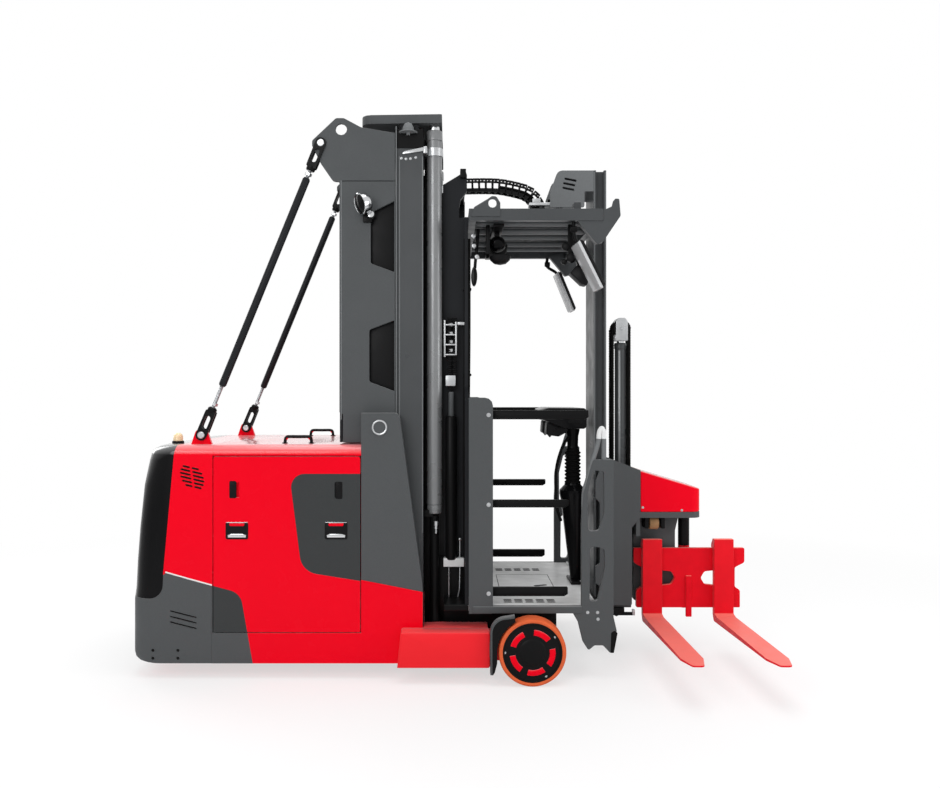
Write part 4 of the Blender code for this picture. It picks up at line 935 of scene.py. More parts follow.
@dataclass
class Studio:
    """The camera at the photograph's place, soft lamps, a pale floor and a white surround."""

    lens: float = 32.94
    sensor: float = 36.0
    shift: Pair = (0.0213, 0.001)
    world_level: float = 0.55
    floor_glow: float = 0.62
    floor_low: Pair = (-30.0, -12.0)
    floor_high: Pair = (30.0, 48.0)
    floor_colour: Point = (0.86, 0.86, 0.865)
    floor_roughness: float = 0.75
    fade: Pair = (2.2, 6.0)
    lamps: tuple[Lamp, ...] = (
        Lamp("top_lamp", (0.2, 0.2, 9.0), (0.0, 0.2, 0.0), (9.8, 6.3), 480.0),
        Lamp("front_lamp", (-2.6, -5.2, 3.6), (0.0, 0.0, 1.2), (2.6, 2.6), 110.0),
        Lamp("side_lamp", (5.0, -2.0, 2.6), (0.6, 0.0, 1.3), (2.0, 3.0), 70.0),
        Lamp("rear_lamp", (-4.6, 2.6, 3.2), (-0.6, 0.0, 1.3), (2.0, 3.0), 60.0))

    def build(self) -> None:
        """Set up everything around the truck."""
        self.camera()
        self.world()
        self.floor()
        for lamp in self.lamps:
            lamp.hang()
        bpy.context.scene.view_settings.view_transform = "Standard"

    def camera(self) -> None:
        """Aim the camera level along +Y from the height of the eye."""
        lens = bpy.data.cameras.new("camera")
        lens.lens = self.lens
        lens.sensor_width = self.sensor
        lens.sensor_fit = "HORIZONTAL"
        lens.shift_x, lens.shift_y = self.shift
        eye = bpy.data.objects.new("camera", lens)
        eye.location = (OFFSET[0], EYE_Y + OFFSET[1], EYE_Z)
        eye.rotation_euler = (pi / 2, 0.0, 0.0)
        bpy.context.scene.collection.objects.link(eye)
        bpy.context.scene.camera = eye

    def world(self) -> None:
        """Light the truck evenly, and show white behind it, also in gloss."""
        world = bpy.data.worlds.new("surround")
        bpy.context.scene.world = world
        world.use_nodes = True
        tree = world.node_tree
        tree.nodes.clear()
        path = tree.nodes.new("ShaderNodeLightPath")
        shows = calculate(tree, "MAXIMUM", path.outputs["Is Camera Ray"], path.outputs["Is Glossy Ray"])
        sky = tree.nodes.new("ShaderNodeBackground")
        sky.inputs["Color"].default_value = (1.0, 1.0, 1.0, 1.0)
        tree.links.new(map_range(tree, shows, (0.0, 1.0), (self.world_level, 1.0)), sky.inputs["Strength"])
        out = tree.nodes.new("ShaderNodeOutputWorld")
        tree.links.new(sky.outputs[0], out.inputs["Surface"])

    def floor(self) -> None:
        """Lay a wide pale floor that fades to white far from the truck."""
        (x0, y0), (x1, y1) = self.floor_low, self.floor_high
        corners = np.array([[(x0, y0, 0.0), (x1, y0, 0.0)], [(x0, y1, 0.0), (x1, y1, 0.0)]])
        mesh = solid("floor", lattice(corners))
        item = bpy.data.objects.new("floor", mesh)
        bpy.context.scene.collection.objects.link(item)
        finish = bpy.data.materials.new("pale_floor")
        finish.use_nodes = True
        tree = finish.node_tree
        shader = tree.nodes["Principled BSDF"]
        shader.inputs["Base Color"].default_value = (*self.floor_colour, 1.0)
        shader.inputs["Roughness"].default_value = self.floor_roughness
        place = tree.nodes.new("ShaderNodeTexCoord")
        away = tree.nodes.new("ShaderNodeVectorMath")
        away.operation = "LENGTH"
        tree.links.new(place.outputs["Object"], away.inputs[0])
        white = map_range(tree, away.outputs["Value"], self.fade, (self.floor_glow, 1.0))
        path = tree.nodes.new("ShaderNodeLightPath")
        only_seen = calculate(tree, "MULTIPLY", white, path.outputs["Is Camera Ray"])
        glow = tree.nodes.new("ShaderNodeEmission")
        mix = tree.nodes.new("ShaderNodeMixShader")
        for socket, source in zip(mix.inputs, (only_seen, shader.outputs[0], glow.outputs[0])):
            tree.links.new(source, socket)
        tree.links.new(mix.outputs[0], tree.nodes["Material Output"].inputs["Surface"])
        mesh.materials.append(finish)


@dataclass
class Sided:
    """A sub-assembly with pieces in pairs, whose methods for a pair work on one side."""

    side: Side = Side.RIGHT
    body: str = "chassis"

    def halves(self) -> list["Sided"]:
        """Copies of this sub-assembly, set to the right and to the left."""
        return [replace(self, side=side) for side in Side]

    def pair(self, name: str, shell: Shell, finish: Finish, node: str = "", body: str = "") -> None:
        """Make this side's piece of a pair.

        Args:
            name: Name of the piece without the side's letter.
            shell: Its surface in the drawing frame.
            finish: Its surface finish.
            node: CAD node that it stands for, without the side's letter.
            body: The body that it rides on, where it isn't the sub-assembly's own.
        """
        end = "_" + self.side.tag
        made(name + end, shell, finish, body or self.body, (node + end,) if node else ())


@dataclass
class Chassis(Sided):
    """The rear body with its two-colour doors, vents, latches, lid handles and beacon."""

    side_y: float = 0.635
    # Picture spots and radius of a painted highlight, a pale line along the bumper's top edge.
    highlight_line_px: Pairs = ((165.5, 572.2), (188.0, 578.6), (212.0, 585.2))
    highlight_line_r: float = 0.0042
    latch_x: Pair = (-1.1927, -0.6377)
    latch_z: Pair = (0.782, 0.876)
    latch_half: float = 0.063
    lock_spots: Pairs = ((-1.216, 1.06), (-0.6215, 1.056))
    lock_half: Pair = (0.019, 0.048)
    vent_px: Pair = (192.2, 477.2)
    vent_radius: float = 0.069
    vent_rows: tuple[float, ...] = (-2.5, -1.5, -0.5, 0.5, 1.5, 2.5)
    vent_pitch: float = 0.0205
    vent_tilt: float = -13.0
    louvre_px: Pairs = ((183.5, 614.2), (183.5, 619.7), (183.5, 625.2))
    sunk_screws_px: Pairs = ((153.0, 650.3), (153.0, 658.2), (178.0, 650.3), (178.0, 658.2))
    grip_y: float = 0.461
    grip_x: Pair = (-0.957, -0.803)
    beacon_at: Point = (-1.58, -0.45, 1.3103)

    def inlay(self) -> Array:
        """Outline of the grey field on a battery door's front."""
        return round_outline(
            [(-0.48, 1.148, 0.0), (-0.8998, 1.148, 0.075), (-0.8298, 0.6006, 0.11), (-0.48, 0.5449, 0.0)], 10)

    def corner(self) -> Array:
        """Outline of the grey field at a battery door's lower rear corner."""
        return round_outline(
            [(-1.4, 0.54, 0.0), (-1.1735, 0.4803, 0.09), (-1.096, 0.04, 0.0), (-1.4, 0.04, 0.0)], 8)

    def build(self) -> None:
        """Dress the body's nodes and add what is fixed on them."""
        fields = together(slab(shape, -1.0, 1.0, edge=CUT_EDGE) for shape in (self.inlay(), self.corner()))
        sill = together(slab(self.corner(), low, low + 0.1, edge=CUT_EDGE) for low in (0.6, -0.7))
        carve("chassis_body", "chassis_shell", sill, False, RED_PAINT, 0.003)
        carve("chassis_sill", "chassis_shell", sill, True, GREY_POWDER, 0.0006)
        for half in self.halves():
            half.painted_bumper_highlight()
        for half in self.halves():
            node = "battery_door_" + half.side.tag
            carve(node + "_red", node, fields, False, RED_PAINT, 0.0008)
            carve(node + "_grey", node, fields, True, INLAY_GREY, 0.0006)
            half.door_fittings()
            half.vent()
            half.louvres()
            half.lid_handle()
        dress("rear_cover", COVER_BLACK, 0.004)
        dress("rear_bumper", GREY_POWDER, 0.003)
        dress("top_cover", RED_PAINT, 0.0015)
        dress("battery", CAST_GREY, 0.004)
        self.beacon()

    def painted_bumper_highlight(self) -> None:
        """Lay a painted highlight, a pale line along the bumper's top edge between the red body and its grey
        corner.
        """
        ends = [seen(px, py, -self.side_y) for px, py in self.highlight_line_px]
        line = tube([(x, self.side.sign * (self.side_y + 0.0005), z) for x, z in ends], self.highlight_line_r, 10)
        # The pale tube is a painted highlight on the bumper's edge.
        self.pair("painted_bumper_highlight", line, WHITE_CAP)

    def rimmed(self, outline: Array, rim: float, height: float) -> Shell:
        """Make a flat bed in a raised rim, sunk into a door.

        Args:
            outline: Outer outline of the rim.
            rim: Width of the rim.
            height: How proud of the door it stands.

        Returns:
            The rim and the bed, which runs a millimetre under it.
        """
        out = self.side.sign
        y = out * self.side_y
        back = y - out * 0.006
        return (ring_slab(outline, shrink(outline, rim), back, y + out * height)
                + slab(shrink(outline, rim - 0.001), back, y + out * 0.0006, edge=0.0002))

    def door_fittings(self) -> None:
        """Fit the latches with their bright lips, a painted highlight along each latch's top, and the slotted
        locks, of one door.
        """
        out = self.side.sign
        y = out * self.side_y
        low, high = self.latch_z
        rims, lips_and_highlights, flaps = [], [], []
        for x in self.latch_x:
            case = rounded_box((x - self.latch_half, low), (x + self.latch_half, high), 0.008)
            rims.append(self.rimmed(case, 0.006, 0.0018))
            lip = np.array([(x - 0.05, 0.792), (x + 0.05, 0.792), (x + 0.052, 0.806), (x + 0.03, 0.812),
                            (x - 0.03, 0.812), (x - 0.052, 0.806)])
            lips_and_highlights.append(slab(lip, y - out * 0.002, y + out * 0.003, edge=0.002))
            # The bright bar along the latch's top is a painted highlight.
            lips_and_highlights.append(block((x - 0.06, y - out * 0.002, 0.8745), (x + 0.06, y + out * 0.003, 0.878), 0.001))
            flap = round_outline([(x - 0.04, 0.856, 0.006), (x + 0.04, 0.856, 0.006),
                                  (x + 0.044, 0.872, 0.004), (x - 0.044, 0.872, 0.004)], 4)
            flaps.append(slab(flap, y - out * 0.002, y + out * 0.003, edge=0.0015))
        wide, tall = self.lock_half
        for x, z in self.lock_spots:
            rims.append(
                self.rimmed(rounded_box((x - wide, z - tall), (x + wide, z + tall), 0.006), 0.004, 0.0014))
            rims.append(lathe([(0.0, 0.0), (0.01, 0.0), (0.01, 0.002), (0.0, 0.003)], (x, y, z + 0.026),
                              (0, out, 0), 16))
        body = "battery_door_" + self.side.tag
        made(body + "_latch_rims", together(rims), BLACK_PLASTIC, body)
        made(body + "_latch_lip_and_highlight", together(lips_and_highlights), CHROME, body)
        made(body + "_latch_flaps", together(flaps), RED_PAINT, body)

    def sunk_field(self, name: str, slots: list[Array], sizes: list[Pair], finish: Finish) -> None:
        """Make a field of dark slots, each in a low rolled rim, as two pieces.

        Args:
            name: What both pieces' names start with.
            slots: Outlines of the slots.
            sizes: Width and height of each slot's rim.
            finish: Finish of the rims.
        """
        out = self.side.sign
        y = out * self.side_y
        beds = [slab(slot, y - out * 0.002, y + out * 0.0004, edge=0.0002) for slot in slots]
        rims = [ring_slab(shrink(slot, -rim), slot, y - out * 0.001, y + out * height)
                for slot, (rim, height) in zip(slots, sizes)]
        self.pair(name + "_beds", together(beds), RUBBER)
        self.pair(name + "_rims", together(rims), finish)

    def vent(self) -> None:
        """Make the round field of slanted slots behind the door.

        Each row is as long as the circle is wide there, and is cut in two.
        """
        x, z = seen(*self.vent_px, -self.side_y)
        slope = np.tan(radians(self.vent_tilt))
        slots = []
        for row in self.vent_rows:
            drop = row * self.vent_pitch
            half = (self.vent_radius ** 2 - drop ** 2) ** 0.5
            for part in (-1, 1):
                u = x + part * (half / 2 + 0.002) + row * 0.003
                slots.append(capsule((u, z - drop + (u - x) * slope), half - 0.004, 0.011, self.vent_tilt))
        self.sunk_field("side_vent", slots, [(0.0016, 0.0012)] * len(slots), RED_PAINT)

    def louvres(self) -> None:
        """Make three slanted louvres and four sunk screws in the lower corner."""
        slots = [capsule(seen(px, py, -self.side_y), 0.156, 0.0085, -14.3) for px, py in self.louvre_px]
        spots = [capsule(seen(px, py, -self.side_y), 0.018, 0.0179) for px, py in self.sunk_screws_px]
        sizes = [(0.0016, 0.0014)] * len(slots) + [(0.002, 0.0012)] * len(spots)
        self.sunk_field("corner_louvre", slots + spots, sizes, GREY_POWDER)

    def lid_handle(self) -> None:
        """Lay a black bow grip over the lid's handle, on two round feet."""
        y = self.side.sign * self.grip_y
        path = [(-0.957, y, 1.3105), (-0.9555, y, 1.325), (-0.952, y, 1.34), (-0.937, y, 1.348),
                (-0.88, y, 1.348), (-0.823, y, 1.348), (-0.808, y, 1.34), (-0.8045, y, 1.325),
                (-0.803, y, 1.3105)]
        foot = [(0.0, 0.0), (0.017, 0.0), (0.017, 0.003), (0.011, 0.005), (0.0, 0.006)]
        feet = [lathe(foot, (x, y, 1.3102), steps=24) for x in self.grip_x]
        self.pair("lid_grip", together([tube(smooth_path(path, 48), 0.0092, 16), *feet]), BLACK_PLASTIC)

    def beacon(self) -> None:
        """Turn the beacon's ribbed lens and its black foot."""
        lens = [(0.0, 0.014), (0.028, 0.014), (0.0275, 0.04), (0.022, 0.052), (0.012, 0.059), (0.0, 0.061)]
        foot = [(0.0, 0.0), (0.034, 0.0), (0.034, 0.01), (0.03, 0.014), (0.0, 0.014)]
        made("beacon_lens", lathe(lens, self.beacon_at, steps=40), AMBER_LENS, "chassis", ("beacon",))
        made("beacon_foot", lathe(foot, self.beacon_at, steps=40), BLACK_PLASTIC, "chassis", ("beacon",))


@dataclass
class RunningGear(Sided):
    """Load legs, wheel guards, load wheels and the steered drive wheel."""

    wheel_x: float = 0.45
    wheel_z: float = 0.185
    wheel_r: float = 0.185
    inner_y: float = 0.668
    outer_y: float = 0.775
    rim_r: float = 0.163
    guard_r: float = 0.1925
    guard_y: Pair = (0.728, 0.775)
    guard_wall: float = 0.011
    opening_angles: tuple[float, ...] = (62.0, 139.0, 212.0, 280.0, 347.0)
    opening_half: float = 24.0
    opening_r: Pair = (0.094, 0.126)
    screw_angles: tuple[float, ...] = (35.0, 180.0, 300.0)
    screw_ring_r: float = 0.15
    drive_at: Point = (-1.55, 0.0, 0.17)

    def build(self) -> None:
        """Build both sides and the drive unit."""
        for half in self.halves():
            half.leg()
            half.guard()
            half.wheel()
        dress("drive_unit", BLACK_METAL, 0.003)
        self.drive_wheel()

    def leg(self) -> None:
        """Build the leg's outer strip, its inner beam and its axle arm."""
        s = self.side.sign
        strip = round_outline(
            [(-0.29, 0.092, 0.0), (0.22, 0.092, 0.012), (0.22, 0.289, 0.012), (-0.27, 0.289, 0.012)])
        arm = round_outline([(0.12, 0.11, 0.0), (0.46, 0.11, 0.0), (0.52, 0.13, 0.05),
                             (0.52, 0.25, 0.05), (0.45, 0.27, 0.0), (0.12, 0.27, 0.0)])
        body = (slab(strip, s * 0.6353, s * 0.74, edge=0.008)
                + block((-0.152, s * 0.5, 0.095), (0.214, s * 0.66, 0.286), 0.006)
                + slab(arm, s * 0.583, s * 0.658, edge=0.004))
        self.pair("load_leg_body", body, LEG_PAINT, "load_leg")

    def guard(self) -> None:
        """Bend the guard behind the wheel, with its flange, and turn the stub axle.

        The flange's front edge is an arc about the wheel, and the bent strip's
        inner line is its outer line moved inwards by the wall.
        """
        s = self.side.sign
        node = "load_leg"
        low, high = self.guard_y
        outer = round_outline([(0.22, 0.066, 0.0), (0.22, 0.366, 0.085), (0.353, 0.3865, 0.0)], 10)
        bend = np.radians(np.linspace(119.0, 180.0, 18))
        by_tyre = np.stack(
            (self.wheel_x + self.guard_r * np.cos(bend), self.wheel_z + self.guard_r * np.sin(bend)), 1)
        flange = np.vstack((outer, by_tyre, [(0.2575, 0.13), (0.244, 0.078), (0.234, 0.064)]))
        self.pair("wheel_guard_flange", slab(flange, s * 0.762, s * 0.773, edge=0.0015), BLACK_METAL, node)
        inner = shrink(np.vstack((outer, [(0.353, 0.3), (0.3, 0.066)])), self.guard_wall)[:len(outer)]
        inner[0, 1], inner[-1, 0] = outer[0, 1], outer[-1, 0]
        bent = (slab(np.vstack((outer, inner[::-1])), s * low, s * high, edge=0.002)
                + block((0.208, s * low, 0.15), (0.234, s * 0.738, 0.23), 0.003))
        self.pair("wheel_guard", bent, GREY_POWDER, node)
        stub = [(0.0, 0.0), (0.0248, 0.0), (0.0248, 0.105), (0.018, 0.111), (0.0, 0.111)]
        self.pair("stub_axle", lathe(stub, (self.wheel_x, s * 0.65, self.wheel_z), (0, s, 0)), ZINC, node)

    def wheel(self) -> None:
        """Build a pressed-on tyre, and a hub disc with five curved openings and small screws."""
        s = self.side.sign
        r, rim = self.wheel_r, self.rim_r
        half = (self.outer_y - self.inner_y) / 2
        centre = (self.wheel_x, s * (self.inner_y + self.outer_y) / 2, self.wheel_z)
        body = "load_wheel_" + self.side.tag
        tread = even([(r, half - 0.014), (r - 0.004, half - 0.005), (r - 0.012, half - 0.001),
                      (rim, half - 0.004)])
        self.pair("load_tyre_band", lathe(tread, centre, (0, s, 0), 96, closed=True), TYRE, "load_tyre", body)
        disc = [
            (0.0, -0.02), (0.06, -0.02), (0.07, -0.02), (rim - 0.014, -0.02), (rim - 0.014, -half + 0.008),
            (rim - 0.0002, -half + 0.006), (rim - 0.0002, half - 0.006), (rim - 0.004, half - 0.004),
            (rim - 0.009, half - 0.005), (rim - 0.012, half - 0.01), (0.135, half - 0.012),
            (0.075, half - 0.01), (0.07, half - 0.006), (0.055, half - 0.004), (0.0, half - 0.004)]
        self.pair("load_hub_disc", lathe(disc, centre, (0, s, 0), 96), BLACK_METAL, "load_hub", body)
        face = centre[1] + s * (half - 0.012)
        middle = np.array((self.wheel_x, self.wheel_z))
        openings, screws = [], []
        for angle in self.opening_angles:
            bend = np.radians(np.linspace(angle - self.opening_half, angle + self.opening_half, 13))
            ray = np.stack((np.cos(bend), np.sin(bend)), 1)
            outline = np.vstack((self.opening_r[1] * ray, self.opening_r[0] * ray[::-1])) + middle
            openings.append(slab(outline, face - s * 0.002, face + s * 0.0035, edge=0.0025))
        for angle in map(radians, self.screw_angles):
            x, z = middle + self.screw_ring_r * np.array((cos(angle), sin(angle)))
            screws.append(bolt((x, face + s * 0.001, z), (0, s, 0), 0.0045))
        self.pair("hub_openings", together(openings), RED_PAINT, body=body)
        self.pair("hub_screws", together(screws), ZINC, body=body)

    def drive_wheel(self) -> None:
        """Turn the drive wheel's tyre and its cast disc."""
        tread = even([(0.17, 0.05), (0.167, 0.057), (0.16, 0.06), (0.132, 0.056)])
        disc = even([(0.1318, 0.056), (0.12, 0.058), (0.11, 0.05), (0.0255, 0.05)])
        for name, shape, steps, finish in (("tyre", tread, 96, TYRE), ("disc", disc, 64, BLACK_METAL)):
            made("drive_" + name, lathe(shape, self.drive_at, (0, 1, 0), steps, closed=True), finish,
                 "drive_wheel", ("drive_wheel",))


@dataclass
class Mast(Sided):
    """The fixed and the moving mast, their lift cylinders, stays and lamps."""

    lift_x: float = -0.0905
    lift_y: float = 0.45
    barrel_r: float = 0.0435
    rod_r: float = 0.035
    rod_z: Pair = (1.0, 3.1495)
    head_low: Point = (-0.4, -0.7, 3.002)
    head_high: Point = (0.06, 0.7, 3.25)
    # Place across the truck of the black sheets of painted shade behind the lift cylinders.
    painted_shade_y: float = 0.38
    stay_y: float = 0.54
    stay_low: Pair = (-1.416, 1.361)
    stay_high: Pair = (-0.736, 3.024)
    tine_y: float = 0.0165
    thread_pitch: float = 0.004
    cap_at: Point = (-0.394, 0.635, 1.408)
    sheet_y: float = 0.52
    window_x: Pair = (-0.47, -0.316)
    window_z: Pairs = ((2.27, 2.715), (1.59, 2.035))
    lamp_px: Pair = (364.5, 203.0)
    lamp_y: float = 0.59
    lamp_aim: Point = (-0.8, 0.52, -0.3)
    plate_y: float = 0.552
    plate_edge_px: Pair = (341.2, 396.2)
    plate_lap_painted_shade_px: tuple[Pair, Pair] = ((342.0, 180.6), (395.0, 180.6))
    stop_px: Pair = (408.5, 135.0)
    rail_y: float = 0.531
    rail_edge_px: Pair = (399.5, 422.5)
    rail_screws: Pairs = ((-0.278, 2.944), (-0.252, 2.94), (-0.226, 2.942), (-0.196, 2.948))

    def build(self) -> None:
        """Dress the mast's nodes and add its fittings."""
        head = block(self.head_low, self.head_high, CUT_EDGE, 1)
        for half in self.halves():
            tag = half.side.tag
            dress("mast_foot_" + tag, GREY_POWDER, 0.002)
            dress("mast_side_plate_" + tag, GREY_POWDER, 0.0015)
            carve("outer_rail_low_" + tag, "outer_rail_" + tag, head, False, RAIL_PAINT, 0.004)
            carve("outer_rail_head_" + tag, "outer_rail_" + tag, head, True, BLACK_METAL, 0.002)
            dress("inner_rail_" + tag, DARK_PAINT, 0.003)
            half.barrel()
            half.stay()
            half.ring_cap()
            half.window_sheet()
            half.work_lamp()
            half.plate_highlights_and_lap_shade()
            half.rail_head()
        dress("mast_back_sheet", DARK_PAINT, 0.001)
        dress("mast_cross_member", DARK_PAINT, 0.003)
        rods = together(drum(self.rod_r, *self.rod_z, (self.lift_x, way * self.lift_y, 0.0), steps=48)
                        for way in (-1, 1))
        carve("crosshead_plate", "mast_crosshead", rods, False, GREY_POWDER, 0.002)
        carve("lift_rods", "mast_crosshead", rods, True, CHROME, 0.0)

    def barrel(self) -> None:
        """Build a lift cylinder with its gland nut, black sheets of painted shade behind it, foot, strap
        clamp and bleed fitting.
        """
        s = self.side.sign
        r = self.barrel_r
        at = (self.lift_x, s * self.lift_y, 0.0)
        node = "lift_barrel"
        profile = [(0.0, 0.904), (r - 0.006, 0.904), (r - 0.002, 0.91), (r - 0.002, 0.925), (r, 0.927),
                   (r, 0.952), (r - 0.003, 0.954), (r - 0.003, 0.958), (r, 0.96), (r, 3.06),
                   (r + 0.004, 3.062), (r + 0.004, 3.112), (r + 0.001, 3.118), (0.0305, 3.119),
                   (0.0305, 3.06), (0.033, 3.055), (0.033, 1.004), (0.0, 1.004)]
        self.pair("lift_tube", lathe(profile, at, steps=64), CYLINDER, node)
        painted_shade_y = self.painted_shade_y
        # Two black sheets behind the cylinder are painted shade filling the dark gap there.
        shade = (
            block((-0.15, s * painted_shade_y, 0.16), (-0.056, s * (painted_shade_y + 0.005), 3.09), 0.001) + block((-0.07,
            s * (painted_shade_y - 0.0005), 0.16), (-0.026, s * (painted_shade_y + 0.0045), 2.78), 0.001))
        self.pair("lift_painted_shade", shade, BLACK_PLASTIC)
        foot = [(0.0, 0.26), (0.03, 0.26), (0.03, 0.3), (0.026, 0.31), (0.026, 0.89), (0.0, 0.906)]
        shoe = block((-0.152, s * 0.42, 0.884), (-0.095, s * 0.48, 0.924), 0.004)
        self.pair("lift_foot", lathe(foot, at, steps=40) + shoe, BLACK_METAL, node)
        ring = [(r + 0.0002, 2.968), (r + 0.0055, 2.97), (r + 0.0055, 3.016), (r + 0.0002, 3.018)]
        lug = block((-0.1525, s * (self.lift_y - 0.03), 2.972),
                    (self.lift_x - r + 0.004, s * (self.lift_y + 0.085), 3.012), 0.004)
        arm = round_outline(
            [(-0.284, 2.962, 0.006), (-0.15, 2.984, 0.0), (-0.15, 3.006, 0.0), (-0.262, 2.982, 0.01)], 5)
        strap = lathe(ring, at, steps=64, closed=True) + lug + slab(arm, s * 0.5305, s * 0.5385, edge=0.002)
        self.pair("lift_strap", strap, ZINC, node)
        spot = (self.lift_x + 0.01, s * (self.lift_y + 0.034), 0.0)
        fitting = together(
            lathe([(0.0, low), (radius, low + 0.001), (radius, high - 0.001), (0.0, high)], spot, steps=6)
            for low, high, radius in ((0.815, 0.835, 0.01), (0.835, 0.862, 0.013), (0.79, 0.815, 0.006)))
        self.pair("bleed_fitting", fitting, ZINC)

    def stay(self) -> None:
        """Build a tie rod: painted tube, bright threaded ends, lock nuts, slotted forks and headed pins.

        Heights are distances along the rod from its lower pin.
        """
        y = self.side.sign * self.stay_y
        low, high = (np.array((x, y, z)) for x, z in (self.stay_low, self.stay_high))
        length = float(np.linalg.norm(high - low))
        along = (high - low) / length
        foot, axis = tuple(low), tuple(along)
        node = "stay"
        body = [(0.0, 0.3), (0.016, 0.302), (0.0215, 0.312), (0.0215, length - 0.222),
                (0.016, length - 0.212), (0.0, length - 0.21)]
        self.pair("stay_tube", lathe(body, foot, axis, 32), DARK_PAINT, node)
        for name, first, last in (("low", 0.16, 0.304), ("high", length - 0.214, length - 0.16)):
            marks = np.arange(first, last, self.thread_pitch / 2)
            teeth = [(0.0115 if i % 2 else 0.0098, float(mark)) for i, mark in enumerate(marks)]
            thread = lathe([(0.0, first), *teeth, (0.0, last)], foot, axis, 20)
            self.pair("stay_thread_" + name, thread, ZINC, node)
        tine = round_outline(
            [(-0.03, -0.031, 0.028), (0.15, -0.029, 0.008), (0.15, 0.029, 0.008), (-0.03, 0.031, 0.028)])
        slot = capsule((0.078, 0.0), 0.08, 0.03)
        nuts, forks, pins = [], [], []
        for end, way in ((0.0, 1.0), (length, -1.0)):
            tip = low + along * end
            turn = atan2(along[2] * way, along[0] * way)
            spin = np.array(((cos(turn), sin(turn)), (-sin(turn), cos(turn))))
            for part in (-1, 1):
                middle = y + part * self.tine_y
                forks.append(ring_slab(tine @ spin + tip[[0, 2]], slot @ spin + tip[[0, 2]], middle - 0.0055,
                                       middle + 0.0055))
            forks.append(lathe([(0.0, -0.016), (0.022, -0.016), (0.026, -0.01), (0.026, 0.01), (0.018, 0.018),
                                (0.0, 0.018)], tuple(tip + along * way * 0.152), axis, 24))
            nuts.append(lathe(even([(0.02, 0.008), (0.0, 0.009)]), tuple(tip + along * way * 0.19), axis, 6))
            pins.append(lathe(even([(0.02, 0.023), (0.016, 0.026), (0.0, 0.026)]), tuple(tip), (0, 1, 0), 24))
        self.pair("stay_forks", together(forks), BLACK_METAL, node)
        self.pair("stay_pins", together(pins + nuts), ZINC, node)

    def ring_cap(self) -> None:
        """Turn the bare round cap on the mast's foot, a dished disc in a bright ring."""
        x, y, z = self.cap_at
        at = (x, self.side.sign * y, z)
        ring = [(0.034, 0.004), (0.034, 0.0085), (0.038, 0.0095), (0.0425, 0.0075), (0.043, 0.0005)]
        disc = [(0.0, 0.0075), (0.02, 0.0072), (0.034, 0.0064), (0.034, 0.002), (0.0, 0.002)]
        self.pair("foot_cap_ring", lathe(ring, at, (0, self.side.sign, 0), 56, closed=True), ZINC)
        self.pair("foot_cap_disc", lathe(disc, at, (0, self.side.sign, 0), 56), GREY_POWDER)

    def window_sheet(self) -> None:
        """Hang the black sheet behind the side plate's two windows."""
        y = self.side.sign * self.sheet_y
        near, far = self.window_x
        sheets = together(block((near, y - 0.003, low), (far, y + 0.003, high), 0.001)
                          for low, high in self.window_z)
        self.pair("window_sheets", sheets, BLACK_PLASTIC)

    def work_lamp(self) -> None:
        """Build a round work lamp: bright bowl, dark lens, black bracket and bright nut."""
        s = self.side.sign
        node = "work_lamp"
        x, z = seen(*self.lamp_px, -self.lamp_y)
        at = (x + 0.026, s * self.lamp_y, z + 0.006)
        aim = (self.lamp_aim[0], s * self.lamp_aim[1], self.lamp_aim[2])
        bowl = [(0.0, 0.0), (0.044, 0.004), (0.056, 0.02), (0.06, 0.044), (0.0615, 0.062), (0.057, 0.064),
                (0.054, 0.058), (0.0, 0.054)]
        glass = [(0.0, 0.052), (0.053, 0.056), (0.053, 0.062), (0.036, 0.07), (0.0, 0.074)]
        self.pair("lamp_bowl", lathe(bowl, at, aim, 48), CHROME, node)
        self.pair("lamp_lens", lathe(glass, at, aim, 48), BLACK_GLOSS, node)
        arm = block((x - 0.012, s * 0.5503, z - 0.105), (x + 0.04, s * 0.566, z - 0.03), 0.004)
        nut = lathe([(0.0, 0.0), (0.02, 0.0), (0.024, 0.01), (0.018, 0.026), (0.0, 0.028)],
                    (x + 0.035, s * 0.552, z - 0.06), (0, s, 0), 24)
        self.pair("lamp_arm", arm, BLACK_METAL, node)
        self.pair("lamp_nut", nut, CHROME, node)

    def plate_highlights_and_lap_shade(self) -> None:
        """Draw painted highlights along the side plate's edges, and a dark line of painted shade where its
        head laps it.
        """
        s = self.side.sign
        tops = zip(self.plate_edge_px, (2.812, 3.12))
        # Pale strips at the plate's edges are painted highlights.
        edges = together(painted_edge_highlight(seen(px, 300.0, -self.plate_y)[0], (s * 0.5495, s * 0.5515), (1.45, top))
                         for px, top in tops)
        self.pair("plate_edge_highlights", edges, PLATE_GREY)
        (x0, z), (x1, _) = (seen(px, py, -self.plate_y) for px, py in self.plate_lap_painted_shade_px)
        # The dark strip is painted shade at the step where the head laps the plate.
        lap = block((x0, s * 0.5495, z - 0.004), (x1, s * 0.5512, z), 0.0006, 1)
        self.pair("plate_lap_painted_shade", lap, BLACK_METAL)

    def rail_head(self) -> None:
        """Build the domed rail stop, painted highlights along the rail's edges, and its screws."""
        s = self.side.sign
        x, z = seen(*self.stop_px, -0.5)
        dome = lathe(
            [(0.0, -0.012), (0.01, -0.012), (0.012, 0.0), (0.052, 0.0), (0.054, 0.005), (0.034, 0.014),
            (0.032, 0.03), (0.022, 0.052), (0.0, 0.062)], (x, s * 0.534, z), steps=40)
        self.pair("rail_stop", dome, PLATE_GREY)
        # Pale strips at the rail's edges are painted highlights.
        edges = together(painted_edge_highlight(seen(px, 300.0, -self.rail_y)[0], (s * 0.5295, s * 0.5312), (0.8, 2.955))
                         for px in self.rail_edge_px)
        self.pair("rail_edge_highlights", edges, PLATE_GREY)
        screws = together(bolt((x, s * 0.5302, z), (0, s, 0), 0.005) for x, z in self.rail_screws)
        self.pair("rail_screws", screws, ZINC)


@dataclass(frozen=True)
class MirrorPose:
    """How a long mirror hangs: its middle in x and z, and its lean and yaw in degrees."""

    x: float
    z: float
    lean: float
    yaw: float


